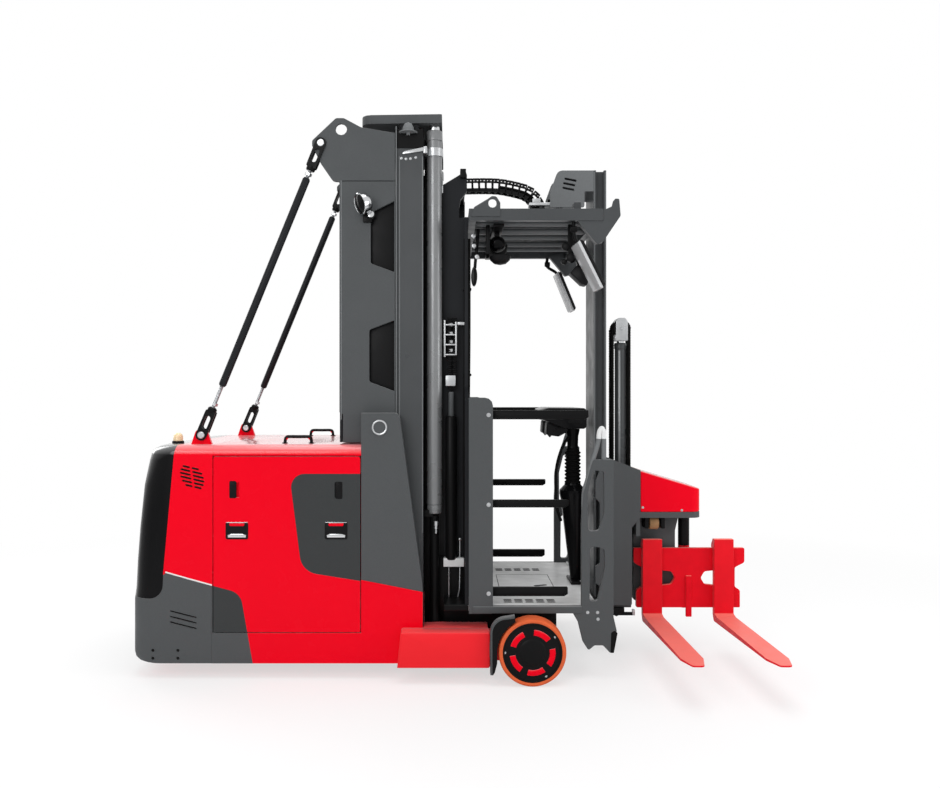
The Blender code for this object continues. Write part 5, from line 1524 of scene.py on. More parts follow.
@dataclass
class Cab(Sided):
    """The rising cab: walls, floor, roof, controls, mirrors, bars and energy chain."""

    body: str = "cab"
    inner_y: float = 0.6147
    outer_y: float = 0.65
    floor_z: float = 0.4095
    deck_low: Point = (0.1045, -0.62, 0.372)
    deck_high: Point = (0.824, 0.62, 0.45)
    screw_z: tuple[float, ...] = (1.478, 0.977, 0.481)
    foot_screws_px: Pairs = ((587.7, 612.5), (597.6, 612.5), (598.0, 619.2))
    bar_y: float = 0.605
    bar_depth: float = 0.028
    bar_levels: tuple[tuple[str, float, float, float], ...] = (
        ("top", 1.478, 0.782, 0.026), ("middle", 0.977, 0.67, 0.022), ("low", 0.481, 0.665, 0.026))
    mirror_y: float = 0.65
    right_mirror: MirrorPose = MirrorPose(0.772, 2.309, -26.6, 14.0)
    left_mirror: MirrorPose = MirrorPose(0.812, 2.318, -22.5, 7.0)
    mirror_arm_x: float = 0.69
    roof_low: float = 2.5575
    column_y: float = 0.425
    column_face_y: float = 0.45
    cylinder_px: tuple[Pair, Pair] = ((449.5, 560.0), (449.5, 416.0))
    cylinder_top_px: Pair = (449.5, 392.0)
    anchor_px: tuple[Pair, Pair] = ((443.5, 567.0), (464.0, 558.5))
    bracket_px: Pair = (450.0, 357.0)
    bracket_blocks_px: tuple[tuple[Pair, Pair], ...] = (
        ((445.5, 386.0), (455.5, 375.5)), ((457.5, 325.0), (465.5, 322.0)))
    bracket_pins_px: Pairs = ((466.5, 455.0), (467.0, 467.0))
    chain_top_px: Pair = (450.0, 318.0)
    rods_px: tuple[tuple[Pair, Pair], ...] = (
        ((449.0, 567.0), (449.0, 602.0)), ((460.0, 541.0), (460.0, 560.0)), ((460.0, 566.0), (459.5, 590.0)),
        ((459.5, 590.0), (456.5, 604.0)))
    rod_ball_px: Pair = (460.0, 540.0)
    hose_px: Pair = (466.0, 400.0)
    clip_z: tuple[float, ...] = (0.62, 1.24, 1.7, 2.2)
    column_x: float = 0.777
    cable_y: float = -0.055
    cable_px: Pairs = (
        (569.0, 436.0), (562.0, 448.0), (556.5, 468.0), (556.0, 490.0), (556.5, 506.0), (561.0, 521.0))
    link_y: Pair = (-0.128, -0.06)
    link_count: int = 13
    tray_px: tuple[Pair, Pair] = ((529.0, 206.0), (563.0, 203.0))
    plugs_px: Pairs = ((541.0, 199.0), (550.0, 199.5), (557.0, 201.0))
    fan_px: Pair = (496.0, 251.0)
    fan_blades: int = 7
    rear_mirror_px: Pair = (475.0, 276.5)
    rear_mirror_half: Pair = (0.018, 0.0558)
    rear_joints_px: Pairs = ((473.5, 236.0), (474.0, 246.0), (477.0, 257.0))
    dome_px: Pair = (497.5, 244.5)
    bowl_px: Pair = (500.0, 259.0)
    lamp_px: Pairs = (
        (569.5, 274.0), (577.0, 265.0), (590.0, 276.0), (586.0, 286.0), (581.0, 285.0))
    knuckles_px: tuple[Point, ...] = (
        (566.0, 247.0, 0.026), (571.0, 258.0, 0.03), (580.0, 262.0, 0.024), (564.0, 262.0, 0.018))
    lamp_hanger_px: Pair = (571.0, 252.0)

    def build(self) -> None:
        """Dress the cab's nodes and add what is fixed on them."""
        dress("cab_back_frame", DARK_PAINT, 0.002)
        deck = block(self.deck_low, self.deck_high, CUT_EDGE, 1)
        carve("floor_plate", "cab_floor", deck, True, FLOOR_PLATE, 0.001)
        carve("floor_frame", "cab_floor", deck, False, BLACK_METAL, 0.002)
        dress("overhead_guard", RAIL_PAINT, 0.003)
        for half in self.halves():
            dress("cab_rear_panel_" + half.side.tag, GREY_POWDER, 0.0015)
            dress("cab_front_panel_" + half.side.tag, GREY_POWDER, 0.0015)
            half.panel_fittings()
            half.sill()
            half.bars()
            half.mirror()
            half.column_cylinder()
            half.column_chain()
            half.column_runs()
        self.floor_marks()
        self.console()
        self.steering_column()
        self.energy_chain()
        self.energy_chain_ends()
        self.fan()
        self.rear_mirror()
        self.roof_lamps()

    def panel_fittings(self) -> None:
        """Fit the side panels' screws, the grab rail with its pale cap, and the foot's rubber."""
        s = self.side.sign
        face = s * self.outer_y
        screws = [bolt((0.216, face, z), (0, s, 0), 0.008) for z in self.screw_z]
        for x, z in (seen(px, py, -self.outer_y) for px, py in self.foot_screws_px):
            screws.append(bolt((x, face, z), (0, s, 0), 0.006))
        self.pair("panel_screws", together(screws), ZINC)
        y = s * (self.inner_y + self.outer_y) / 2
        bend = [(0.838, y, 1.385), (0.85, y, 1.4022), (0.8615, y, 1.385)]
        rail = [(0.753, y, 0.79), (0.7505, y, 0.92), (0.751, y, 1.04), (0.77, y, 1.112), (0.793, y, 1.2),
                (0.814, y, 1.27), (0.831, y, 1.33), *bend, (0.862, y, 1.33), (0.862, y, 1.2)]
        cap = [(0.833, y, 1.345), *bend, (0.862, y, 1.345)]
        self.pair("grab_rail", tube(smooth_path(rail, 80), 0.0138, 16), PLATE_GREY)
        self.pair("grab_cap", tube(smooth_path(cap, 32), 0.0142, 16), WHITE_CAP)
        rubber = round_outline([(0.896, 0.15, 0.004), (0.915, 0.15, 0.004), (0.936, 0.262, 0.01),
                                (0.918, 0.275, 0.01), (0.9, 0.262, 0.006)])
        self.pair("foot_rubber",
             slab(rubber, s * (self.inner_y - 0.002), s * (self.outer_y + 0.003), edge=0.003), RUBBER)

    def sill(self) -> None:
        """Lay the grey sill along the floor's edge."""
        s = self.side.sign
        sill = block((0.128, s * 0.606, 0.371), (0.736, s * 0.6535, 0.409), 0.002)
        self.pair("cab_sill", sill, GREY_POWDER)

    def bars(self) -> None:
        """Build three barrier bars as rounded box tubes with slanted ends."""
        s = self.side.sign
        for level, z, end, half in self.bar_levels:
            node = "barrier_" + level + "_" + self.side.tag
            outline = round_outline(
                [(0.194, z - half, 0.018), (end - 0.02, z - half, 0.004), (end, z - half + 0.012, 0.004),
                (end, z + half, 0.006), (0.194, z + half, 0.018)])
            shape = slab(outline, s * (self.bar_y - self.bar_depth), s * self.bar_y, edge=0.006)
            self.pair("bar_" + level, shape, BLACK_METAL, "barrier_" + level, BODY_OF[node])

    def mirror(self) -> None:
        """Build a long mirror: black tray and rim, a face whose pale colour is partly painted reflection, and
        bent arm.
        """
        pose = self.right_mirror if self.side is Side.RIGHT else self.left_mirror
        x, z = pose.x, pose.z
        y = self.side.sign * self.mirror_y
        centre = (x, y, z)
        back = round_outline([(x + 0.002, z - 0.147, 0.004), (x + 0.019, z - 0.136, 0.012),
                              (x + 0.019, z + 0.136, 0.012), (x + 0.002, z + 0.147, 0.004)])
        front = round_outline([(x - 0.019, z - 0.14, 0.01), (x + 0.001, z - 0.147, 0.002),
                               (x + 0.001, z + 0.147, 0.002), (x - 0.019, z + 0.14, 0.01)])
        tray = slab(back, y - 0.055, y + 0.055, edge=0.004)
        rim = block((x - 0.0005, y - 0.0555, z - 0.148), (x + 0.0035, y + 0.0555, z + 0.148), 0.001)
        face = slab(front, y - 0.054, y + 0.054, edge=0.003)
        # The face's pale colour is partly painted reflection.
        for name, shape, finish in (("tray", tray, BLACK_PLASTIC), ("rim", rim, BLACK_PLASTIC),
                                    ("face", face, MIRROR_PAINTED_REFLECTION)):
            self.pair("mirror_" + name, shape.turned(2, pose.yaw, centre).turned(1, pose.lean, centre),
                 finish, "mirror")
        reach = radians(-pose.lean)
        arm_x = self.mirror_arm_x
        path = smooth_path(
            [(arm_x, y, self.roof_low), (arm_x, y, 2.5), (x - 0.145 * sin(reach), y, z + 0.145 * cos(reach)),
            (x - 0.06 * sin(reach) + 0.012, y, z + 0.06 * cos(reach))], 24)
        joint = lathe(even([(0.02, 0.0), (0.016, 0.018), (0.0, 0.02)]), (arm_x, y, 2.515), (1, 0, 0), 24)
        self.pair("mirror_arm", tube(path, 0.0105, 14) + joint, BLACK_METAL, "mirror")

    def on_column(self, spot_px: Pair) -> Pair:
        """Find where a spot of the picture lies on the column's outer face."""
        return seen(*spot_px, -self.column_face_y)

    def column_cylinder(self) -> None:
        """Build the cylinder on the cab's column, its anchor block and the apron below it."""
        y = self.side.sign * self.column_y
        (x, low), (_, high) = map(self.on_column, self.cylinder_px)
        top = self.on_column(self.cylinder_top_px)[1]
        at = (x + 0.01, y, 0.0)
        tank = [(0.0, low), (0.03, low), (0.033, low + 0.006), (0.033, high - 0.01), (0.026, high),
                (0.0, high)]
        collar = [(0.0, high), (0.016, high), (0.016, top - 0.01), (0.012, top), (0.0, top)]
        self.pair("cab_cylinder", lathe(tank, at, steps=40), BLACK_METAL)
        self.pair("cab_cylinder_rod", lathe(collar, at, steps=32), GREY_POWDER)
        (x0, z0), (x1, z1) = map(self.on_column, self.anchor_px)
        anchor = block((x0, y - 0.022, z0), (x1, y + 0.022, z1), 0.003)
        self.pair("anchor_block", anchor, WHITE_CAP)
        apron = block((-0.09, self.side.sign * 0.395, 0.16), (0.112, self.side.sign * 0.401, 0.64), 0.001)
        self.pair("column_apron", apron, BLACK_METAL)

    def column_chain(self) -> None:
        """Build the ladder-like chain bracket, and the two strands of links that run up to it."""
        s = self.side.sign
        y = s * self.column_y
        x, z = self.on_column(self.bracket_px)
        parts = [block((x - 0.036, y - 0.02, z), (x - 0.026, y + 0.02, z + 0.215), 0.002),
                 block((x + 0.03, y - 0.02, z + 0.01), (x + 0.04, y + 0.02, z + 0.205), 0.002)]
        for step in range(4):
            rung = z + 0.01 + 0.058 * step
            parts.append(block((x - 0.03, y - 0.016, rung), (x + 0.036, y + 0.016, rung + 0.008), 0.002))
            parts.append(bolt((x + 0.004, y - 0.004, z + 0.04 + 0.05 * step), (0, s, 0), 0.008))
        for (x0, z0), (x1, z1) in (map(self.on_column, ends) for ends in self.bracket_blocks_px):
            parts.append(block((x0, y - 0.018, z0), (x1, y + 0.014, z1), 0.003))
        for u, v in map(self.on_column, self.bracket_pins_px):
            parts.append(lathe([(0.0, -0.014), (0.008, -0.014), (0.008, 0.012), (0.0, 0.014)], (u, y, v),
                               (1, 0, 0), 20))
        self.pair("chain_bracket", together(parts), ZINC)
        x, low = self.on_column(self.cylinder_top_px)
        top = self.on_column(self.chain_top_px)[1]
        pitch = 0.0125
        links = []
        for step in range(int((top - low - 0.012) / pitch) + 1):
            z = low + 0.012 + step * pitch
            wide = 0.013 if step % 2 else 0.009
            for middle in (x, x + 0.03):
                links.append(
                    block((middle - wide, y - 0.012, z), (middle + wide, y + 0.012, z + 0.0105), 0.003, 1))
        self.pair("lift_chain", together(links), BLACK_METAL)

    def column_runs(self) -> None:
        """Build the thin brake rods with their ball, the two hoses and the hoses' clips."""
        s = self.side.sign
        y = s * self.column_y
        rods = []
        for (x0, z0), (x1, z1) in (map(self.on_column, ends) for ends in self.rods_px):
            rods.append(tube([(x0, y, z0), ((x0 + x1) / 2, y, (z0 + z1) / 2), (x1, y, z1)], 0.0042, 10))
        x, z = self.on_column(self.rod_ball_px)
        rods.append(lathe(even([(0.01, 0.0), (0.007, 0.007), (0.0, 0.01)]), (x, y, z), steps=20))
        self.pair("brake_rods", together(rods), ZINC)
        x = self.on_column(self.hose_px)[0]
        hoses = [
            tube(smooth_path([(x + step, y + s * 0.01, 2.5), (x + step, y + s * 0.012, 1.9),
            (x + step - 0.006, y + s * 0.01, 1.2), (x + step, y, 0.45)], 40), 0.009, 12)
            for step in (-0.004, 0.018)]
        self.pair("column_hoses", together(hoses), RUBBER)
        clips = [block((x - 0.018, y - 0.012, z), (x + 0.032, s * 0.388, z + 0.014), 0.003)
                 for z in self.clip_z]
        self.pair("hose_clips", together(clips), BLACK_PLASTIC)

    def floor_marks(self) -> None:
        """Cut the floor's dark slots and the service lid's line as thin pieces on the plate."""
        slots = [capsule((0.33 + step * 0.062, y + row), 0.048, 0.018)
                 for y in (-0.52, 0.36) for step in range(5) for row in (-0.03, 0.0, 0.03)]
        slots.append(capsule((0.56, -0.12), 0.09, 0.03, 20.0))
        marks = [slab(slot, self.floor_z, self.floor_z + 0.0011, Plane.XY, 0.0003) for slot in slots]
        for low, high in (((0.3, -0.3), (0.64, -0.296)), ((0.3, 0.196), (0.64, 0.2)),
                          ((0.3, -0.3), (0.304, 0.2)), ((0.636, -0.3), (0.64, 0.2))):
            marks.append(block((*low, self.floor_z - 0.0003), (*high, self.floor_z + 0.0011), 0.0006))
        made("floor_slots", together(marks), RUBBER, "cab")

    def console(self) -> None:
        """Build the console with its two hanging grips, their knobs and the flat marks on its ends."""
        profile = round_outline([(0.56, 1.44, 0.01), (0.7, 1.384, 0.014), (0.83, 1.384, 0.022),
                                 (0.83, 1.51, 0.022), (0.6, 1.512, 0.02), (0.56, 1.5, 0.01)][::-1], 5)
        made("console", slab(profile, -0.24, 0.24, edge=0.01), BLACK_GLOSS, "cab", ("control_head",))
        pod = round_outline([(0.59, 1.345, 0.014), (0.665, 1.335, 0.016), (0.72, 1.365, 0.014),
                             (0.716, 1.425, 0.006), (0.596, 1.425, 0.012)], 5)
        knob = [(0.0, 0.0), (0.016, 0.0), (0.019, 0.006), (0.019, 0.016), (0.0, 0.018)]
        pods = together(slab(pod, s * 0.06, s * 0.2, edge=0.01) for s in (-1, 1))
        knobs = together(lathe(knob, (0.618, s * 0.13, 1.352), (-0.8, 0.0, -0.6), 24) for s in (-1, 1))
        made("console_pods", pods, BLACK_PLASTIC, "cab", ("control_head",))
        made("console_knobs", knobs, RUBBER, "cab", ("control_head",))
        mark = block((0.715, -0.2425, 1.418), (0.8, -0.2395, 1.482), 0.001)
        made("console_side_mark", mark + mark.mirrored(-1), BLACK_METAL, "cab")

    def steering_column(self) -> None:
        """Build the column's bellows, leaning boot, neck and foot, and its cable.

        The bellows repeat one rib, and the boot's turned points are sheared
        forwards by up to two centimetres from its waist down to the floor.
        """
        at = (self.column_x, 0.0, 0.0)
        node = ("steering_column",)
        ribs = [(0.0, 1.03)]
        for z in 1.036 + 0.0232 * np.arange(9):
            ribs += [(0.05, z), (0.0515, z + 0.006), (0.042, z + 0.013), (0.042, z + 0.0165)]
        ribs += [(0.036, 1.252), (0.0, 1.254)]
        cover = [(0.0, 0.411), (0.03, 0.411), (0.034, 0.43), (0.078, 0.93), (0.085, 0.965), (0.083, 0.99),
                 (0.062, 1.012), (0.052, 1.022), (0.05, 1.034), (0.0, 1.034)]
        neck = [(0.0, 1.254), (0.037, 1.254), (0.034, 1.275), (0.036, 1.33), (0.044, 1.365), (0.044, 1.3835),
                (0.0, 1.3835)]
        boot = lathe(cover, at, steps=56)
        boot.points[:, 0] += 0.02 * np.clip((1.0 - boot.points[:, 2]) / 0.59, 0.0, 1.0)
        foot = block((0.752, -0.11, 0.4103), (0.814, 0.11, 0.427), 0.006)
        made("column_bellows", lathe(ribs, at, steps=40), RUBBER, "cab", node)
        made("column_cover", boot, BLACK_GLOSS, "cab", node)
        made("column_neck", lathe(neck, at, steps=36), BLACK_METAL, "cab", node)
        made("column_foot", foot, BLACK_METAL, "cab", node)
        spots = (seen(px, py, self.cable_y) for px, py in self.cable_px)
        route = smooth_path([(x, self.cable_y, z) for x, z in spots], 40)
        made("column_cable", tube(route, 0.0095, 12), RUBBER, "cab")

    def energy_chain(self) -> None:
        """Build the energy chain: two rows of windowed side links with cross bars, and its hoses.

        The links stand at even steps along a smooth path, each turned to the
        path's direction at its own joint.
        """
        path = smooth_path(
            [(0.098, 0.0, 2.888), (0.2, 0.0, 2.89), (0.29, 0.0, 2.888), (0.347, 0.0, 2.88),
            (0.42, 0.0, 2.864), (0.48, 0.0, 2.845), (0.52, 0.0, 2.81), (0.545, 0.0, 2.76),
            (0.55, 0.0, 2.715)], 120)
        run = np.concatenate(([0.0], np.cumsum(np.linalg.norm(np.diff(path, axis=0), axis=1))))
        spots = np.linspace(0.0, run[-1], self.link_count + 1)
        path = np.stack([np.interp(spots, run, path[:, axis]) for axis in range(3)], 1)
        tangent = np.gradient(path, axis=0)
        tangent /= np.linalg.norm(tangent, axis=1, keepdims=True)
        reach = spots[1] / 2 + 0.0012
        outer = rounded_box((-reach, -0.041), (reach, 0.041), 0.004)
        hole = rounded_box((-reach + 0.0065, -0.02), (reach - 0.0065, 0.03), 0.003)
        links = []
        for middle, way in zip((path[:-1] + path[1:]) / 2, tangent):
            spin = np.array(((way[0], way[2]), (-way[2], way[0])))
            place = middle[[0, 2]]
            for y in self.link_y:
                links.append(ring_slab(outer @ spin + place, hole @ spin + place, y - 0.002, y + 0.007))
            for height in (-0.037, 0.037):
                x, z = np.array((0.0, height)) @ spin + place
                links.append(
                    block((x - 0.007, -0.124, z - 0.0035), (x + 0.007, -0.056, z + 0.0035), 0.002, 1))
        made("energy_chain_links", together(links), BLACK_PLASTIC, "cab", ("energy_chain",))
        hoses = together(tube(path[5:] + np.array((0.0, y, z + 0.022)), 0.009, 10)
                         for y, z in ((-0.11, -0.028), (-0.09, -0.026), (-0.072, -0.028)))
        made("energy_chain_hoses", hoses, RUBBER, "cab", ("energy_chain",))

    def energy_chain_ends(self) -> None:
        """Build the foot, the beam, the bright tray and the plugs that the energy chain ends on."""
        foot = (block((0.516, -0.135, 2.6243), (0.599, -0.045, 2.668), 0.004)
                + block((0.452, -0.128, 2.6243), (0.516, -0.052, 2.646), 0.004))
        made("energy_chain_foot", foot, GREY_POWDER, "cab", ("energy_chain",))
        beam = block((0.06, -0.42, 2.862), (0.094, 0.42, 2.914), 0.003)
        made("energy_chain_beam", beam, BLACK_METAL, "cab")
        (x0, z0), (x1, z1) = (seen(px, py, -0.125) for px, py in self.tray_px)
        tray = (block((x0, -0.138, z0), (x1, -0.05, z1), 0.003)
                + block((x0 + 0.02, -0.136, z1), (x0 + 0.07, -0.052, z1 + 0.026), 0.003))
        made("energy_chain_tray", tray, ZINC, "cab")
        plug = [(0.0, -0.012), (0.011, -0.012), (0.011, 0.004), (0.008, 0.012), (0.0, 0.012)]
        plugs = together(lathe(plug, (x, -0.1, z), (1, 0, 0), 20)
                         for x, z in (seen(px, py, -0.14) for px, py in self.plugs_px))
        made("energy_chain_plugs", plugs, BLACK_PLASTIC, "cab")

    def fan(self) -> None:
        """Build the fan under the roof, with its blades turned about its hub, and its bracket."""
        x, z = seen(*self.fan_px, -0.3)
        drum_line = [(0.0, 0.0), (0.04, 0.0), (0.06, 0.014), (0.066, 0.034), (0.06, 0.052), (0.044, 0.06),
                     (0.04, 0.054), (0.0, 0.054)]
        blade = slab(capsule((x + 0.028, z), 0.04, 0.012, 0.0), -0.388, -0.384, edge=0.001)
        blades = [blade.turned(1, step * 360.0 / self.fan_blades, (x, 0.0, z))
                  for step in range(self.fan_blades)]
        case = lathe(drum_line, (x, -0.33, z), (0.0, -1.0, 0.15), 40)
        made("roof_fan", together([case, *blades]), BLACK_METAL, "cab")
        bracket = (block((x - 0.012, -0.35, z + 0.04), (x + 0.012, -0.326, self.roof_low + 0.001), 0.003)
                   + block((x - 0.03, -0.6, 2.54), (x + 0.03, 0.6, self.roof_low), 0.003))
        made("fan_bracket", bracket, BLACK_METAL, "cab")

    def rear_mirror(self) -> None:
        """Build the driver's small oval mirror, its bent arm and the bright joints beside it."""
        x, z = seen(*self.rear_mirror_px, -0.45)
        turn = np.linspace(0.0, tau, 32, endpoint=False)
        oval = np.stack((np.cos(turn), np.sin(turn)), 1) * self.rear_mirror_half + (x - 0.0045, z)
        made("rear_mirror_glass", slab(oval, -0.466, -0.414, edge=0.008), BLACK_GLOSS, "cab")
        arm = smooth_path([(x, -0.44, z + 0.05), (x + 0.004, -0.435, z + 0.1),
                           (x + 0.01, -0.43, z + 0.15), (x + 0.02, -0.42, self.roof_low)], 20)
        made("rear_mirror_arm", tube(arm, 0.009, 12), BLACK_METAL, "cab")
        joint = even([(0.014, 0.0), (0.012, 0.016), (0.0, 0.018)])
        joints = together(lathe(joint, (u, -0.45, v), (0, 1, 0), 24)
                          for u, v in (seen(px, py, -0.46) for px, py in self.rear_joints_px))
        made("rear_mirror_joints", joints, ZINC, "cab")

    def roof_lamps(self) -> None:
        """Build the dome lamp, the roof's round bars, the bowl on its bracket and the wedge lamp."""
        under = self.roof_low
        x, z = seen(*self.dome_px, -0.45)
        dome = even([(0.048, 0.0), (0.043, 0.02), (0.028, 0.04), (0.0, 0.048)])
        hanger = block((x - 0.012, -0.462, z + 0.03), (x + 0.012, -0.438, under + 0.001), 0.003)
        made("roof_dome_lamp", lathe(dome, (x, -0.45, z), (0, 1, 0.2), 36) + hanger, BLACK_GLOSS, "cab")
        bars = [tube([(0.126, y, 2.583), (0.4, y, 2.583), (0.829, y, 2.583)], 0.0187, 28)
                for y in (-0.22, 0.22)]
        bars += [tube([(0.146, y, 2.586), (0.4, y, 2.586), (0.809, y, 2.586)], 0.016, 24)
                 for y in (-0.44, 0.0, 0.44)]
        made("roof_bars", together(bars), PLATE_GREY, "cab")
        x, z = seen(*self.bowl_px, -0.52)
        bowl = [(0.0, -0.036), (0.034, -0.028), (0.056, -0.008), (0.062, 0.014), (0.06, 0.018), (0.0, 0.018)]
        parts = (lathe(bowl, (x, -0.52, z), steps=40)
                 + block((x - 0.08, -0.56, z + 0.01), (x - 0.06, -0.48, under), 0.003)
                 + block((x - 0.08, -0.56, z + 0.01), (x + 0.02, -0.48, z + 0.024), 0.003))
        made("roof_bowl", parts, BLACK_PLASTIC, "cab")
        wedge = [(*seen(px, py, -0.5), 0.006) for px, py in self.lamp_px]
        made("cab_lamp", slab(round_outline(wedge[::-1]), -0.54, -0.44, edge=0.006), BLACK_PLASTIC, "cab")
        knuckles = []
        for px, py, size in self.knuckles_px:
            u, v = seen(px, py, -0.56)
            knuckles.append(bead(size, (u, -0.56, v), (0.3, 1, 0)))
        x, z = seen(*self.lamp_hanger_px, -0.56)
        knuckles.append(block((x - 0.018, -0.575, z - 0.03), (x + 0.016, -0.545, under), 0.003))
        made("cab_lamp_joints", together(knuckles), BLACK_METAL, "cab")


@dataclass
class FrontMast:
    """The mast in front of the cab with its cylinder, pulleys and ribbed chains."""

    barrel_x: float = 1.078
    barrel_r: float = 0.0345
    pulley_z: float = 2.005
    pulley_r: float = 0.0525
    strand_x: Pair = (1.0225, 1.1275)
    strand_low: float = 0.33
    strand_r: float = 0.0098
    link_length: float = 0.008
    fan_low: Point = (0.56, -0.2, 2.7)
    fan_high: Point = (0.8845, 0.2, 3.05)
    edge_x: Pair = (0.889, 0.959)

    def build(self) -> None:
        """Dress the mast and build its cylinder and chains."""
        fans = block(self.fan_low, self.fan_high, CUT_EDGE, 1)
        carve("aux_mast_rails", "aux_mast", fans, False, RAIL_PAINT, 0.002)
        carve("aux_mast_fans", "aux_mast", fans, True, PLATE_GREY, 0.0015)
        # The thin black sheets behind the fan plate are painted shade.
        shade = block((0.69, -0.132, 2.87), (0.8, -0.128, 2.965), 0.001)
        made("fan_painted_shade", shade + shade.mirrored(-1), BLACK_PLASTIC, "front_mast")
        # Pale strips at the rail's edges are painted highlights.
        edges = together(painted_edge_highlight(x, (-0.1512, -0.1496), (1.1, 2.966), 0.0006) for x in self.edge_x)
        made("aux_rail_edge_highlights", edges + edges.mirrored(-1), PLATE_GREY, "front_mast")
        self.cylinder()
        self.pulleys()
        still = together(self.ribbed(x, s * 0.012, 1.905) for s in (-1, 1) for x in self.strand_x)
        made("front_chains_still", still, RUBBER, "front_mast")
        moving = together(part for s in (-1, 1) for part in self.over_pulley(s * 0.04))
        made("front_chains_moving", moving, RUBBER, "front_mast_rod")

    def cylinder(self) -> None:
        """Build the cylinder's tube with a painted highlight, a paler strip down its front, and its rod."""
        r = self.barrel_r
        at = (self.barrel_x, 0.0, 0.0)
        # A paler strip on the tube's front is a painted highlight.
        bend = np.radians(np.linspace(240.0, 262.0, 8))
        arc = np.stack((np.cos(bend), np.sin(bend)), 1)
        highlight_strip = np.vstack(((r + 0.0004) * arc, (r - 0.0005) * arc[::-1])) + (self.barrel_x, 0.0)
        made("front_lift_painted_highlight", slab(highlight_strip, 0.34, 1.87, Plane.XY, 0.0002), CYLINDER, "front_mast")
        barrel = [(0.0, 0.316), (0.034, 0.318), (r, 1.88), (0.0375, 1.884), (0.0375, 1.914), (0.034, 1.919),
                  (0.0226, 1.9195), (0.0226, 0.7), (0.0, 0.7)]
        rod = [(0.0, 0.721), (0.022, 0.722), (0.022, 1.93), (0.0, 1.93)]
        made("front_lift_tube", lathe(barrel, at, steps=56), RAIL_PAINT, "front_mast", ("aux_barrel",))
        made("front_lift_rod", lathe(rod, at, steps=40), CHROME, "front_mast_rod", ("aux_rod",))

    def pulleys(self) -> None:
        """Build the yoke on the rod, its pins and the two grooved pulleys."""
        x, z = self.barrel_x, self.pulley_z
        yoke = round_outline([(1.041, 1.931, 0.004), (1.115, 1.931, 0.004), (1.115, 2.052, 0.01),
                              (1.098, 2.074, 0.014), (1.058, 2.074, 0.014), (1.041, 2.052, 0.01)], 5)
        parts = [slab(yoke, -0.0595, -0.055, edge=0.0015), slab(yoke, 0.055, 0.0595, edge=0.0015),
                 slab(yoke, -0.0245, 0.0245, edge=0.004)]
        parts += [bolt((x, s * 0.0595, z), (0, s, 0), 0.012) for s in (-1, 1)]
        made("pulley_yoke", together(parts), ZINC, "front_mast_rod", ("aux_rod",))
        groove = [(0.0, 0.026), (0.05, 0.026), (0.052, 0.03), (0.045, 0.036), (0.045, 0.044), (0.052, 0.05),
                  (0.05, 0.0545), (0.0, 0.0545)]
        wheels = together(lathe(groove, (x, 0.0, z), (0, s, 0), 48) for s in (-1, 1))
        made("pulleys", wheels, BLACK_METAL, "front_mast_rod", ("aux_rod",))

    def ribbed(self, x: float, y: float, high: float) -> Shell:
        """Make an upright strand whose radius swells and shrinks like the links of a chain.

        Args:
            x: Place of the strand.
            y: Place of the strand.
            high: Its upper end.

        Returns:
            The closed tube, with two rings to each link.
        """
        count = int((high - self.strand_low) / self.link_length) | 1
        path = np.stack((np.full(count, x), np.full(count, y), np.linspace(self.strand_low, high, count)), 1)
        return tube(path, self.strand_r, 10, np.where(np.arange(count) % 2, 1.0, 0.78))

    def over_pulley(self, y: float) -> list[Shell]:
        """Make a chain's two upright strands and the half circle that joins them over a pulley.

        Args:
            y: Place across the truck.

        Returns:
            The three tubes.
        """
        turn = np.linspace(0.0, pi, 25)
        arc = np.stack((self.barrel_x + self.pulley_r * np.cos(turn), np.full(25, y),
                        self.pulley_z + self.pulley_r * np.sin(turn)), 1)
        bend = tube(arc, 0.0085, 12, np.where(np.arange(25) % 2, 1.0, 0.8))
        return [*(self.ribbed(x, y, self.pulley_z) for x in self.strand_x), bend]


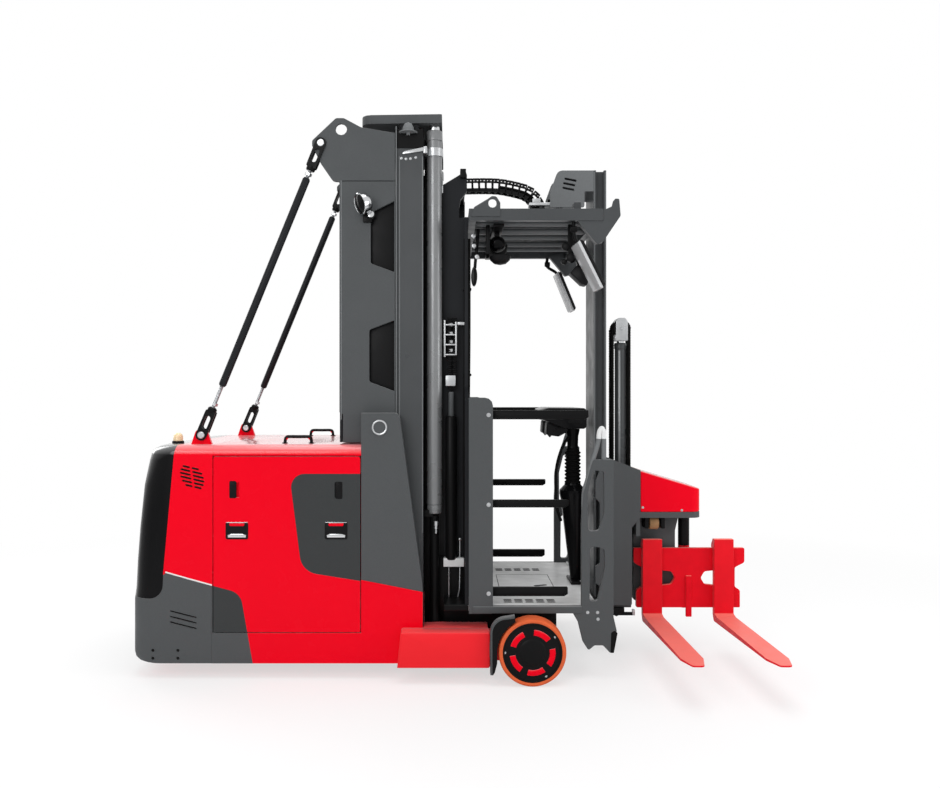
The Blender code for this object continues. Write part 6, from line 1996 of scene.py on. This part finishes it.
@dataclass
class TurretHead:
    """The climbing head, its hood, rollers, pivot and forks."""

    cheek_y: float = 0.19
    plate_top: float = 0.641
    screws_px: Pairs = ((642.8, 507.5), (681.8, 510.3))
    roller_px: Pair = (654.0, 520.0)
    roller_z: float = 0.803
    catch_px: Pairs = (
        (612.0, 607.0), (624.0, 607.0), (624.0, 612.0), (616.0, 616.0), (612.0, 614.0))
    catch_bar_px: tuple[Pair, Pair] = ((617.0, 615.5), (633.0, 612.5))

    def build(self) -> None:
        """Dress the head and the forks, and add their fittings."""
        dress("head_frame", GREY_POWDER, 0.003)
        dress("head_hood", RED_PAINT, 0.008)
        upper = block((1.0, -0.4, self.plate_top), (1.7, 0.4, 1.2), CUT_EDGE, 1)
        carve("fork_pivot_column", "fork_carriage", upper, True, BLACK_METAL, 0.002)
        carve("fork_carriage_plate", "fork_carriage", upper, False, FORK_PAINT, 0.003)
        dress("fork_a", FORK_PAINT, 0.003)
        dress("fork_b", FORK_PAINT, 0.003)
        screws = together(
            bolt((x, s * self.cheek_y, z), (0, s, 0), 0.005) for x, z in (seen(px, py, -self.cheek_y) for px,
            py in self.screws_px) for s in (-1, 1))
        made("hood_screws", screws, ZINC, "turret_head")
        self.rollers()
        self.catch()

    def rollers(self) -> None:
        """Turn the two guide rollers and stand each between its black cheeks."""
        x = seen(*self.roller_px, -0.15)[0]
        z = self.roller_z
        roller = even([(0.042, 0.022), (0.038, 0.028), (0.0, 0.028)])
        rollers = together(lathe(roller, (x, s * 0.13, z), (1, 0, 0), 36) for s in (-1, 1))
        made("guide_rollers", rollers, ROLLER_TAN, "turret_head")
        cheeks = together(
            block((x + step - 0.012, s * 0.085, z - 0.033), (x + step + 0.012, s * 0.175, z + 0.045), 0.004)
            for s in (-1, 1) for step in (-0.05, 0.05))
        made("roller_cheeks", cheeks, BLACK_METAL, "turret_head")

    def catch(self) -> None:
        """Build the small catch below the head, its bar and the bar's bright tip."""
        corners = [(*seen(px, py, -0.15), 0.004) for px, py in self.catch_px]
        (x0, z0), (x1, z1) = (seen(px, py, -0.15) for px, py in self.catch_bar_px)
        body = (slab(round_outline(corners[::-1]), -0.165, -0.115, edge=0.003)
                + block((x0, -0.15, z0), (x1, -0.13, z1), 0.002))
        made("head_catch", body, BLACK_METAL, "turret_head")
        tip = block((x1 - 0.004, -0.152, z0), (x1 + 0.012, -0.128, z1 + 0.018), 0.003)
        made("head_catch_tip", tip, ZINC, "turret_head")


def main() -> None:
    """Build the studio and every sub-assembly."""
    logging.basicConfig(level=logging.INFO, format="%(name)s: %(message)s")
    for part in (Studio(), Chassis(), RunningGear(), Mast(), Cab(), FrontMast(), TurretHead()):
        log.info("building %s", type(part).__name__)
        part.build()


if __name__ == "__main__":
    main()
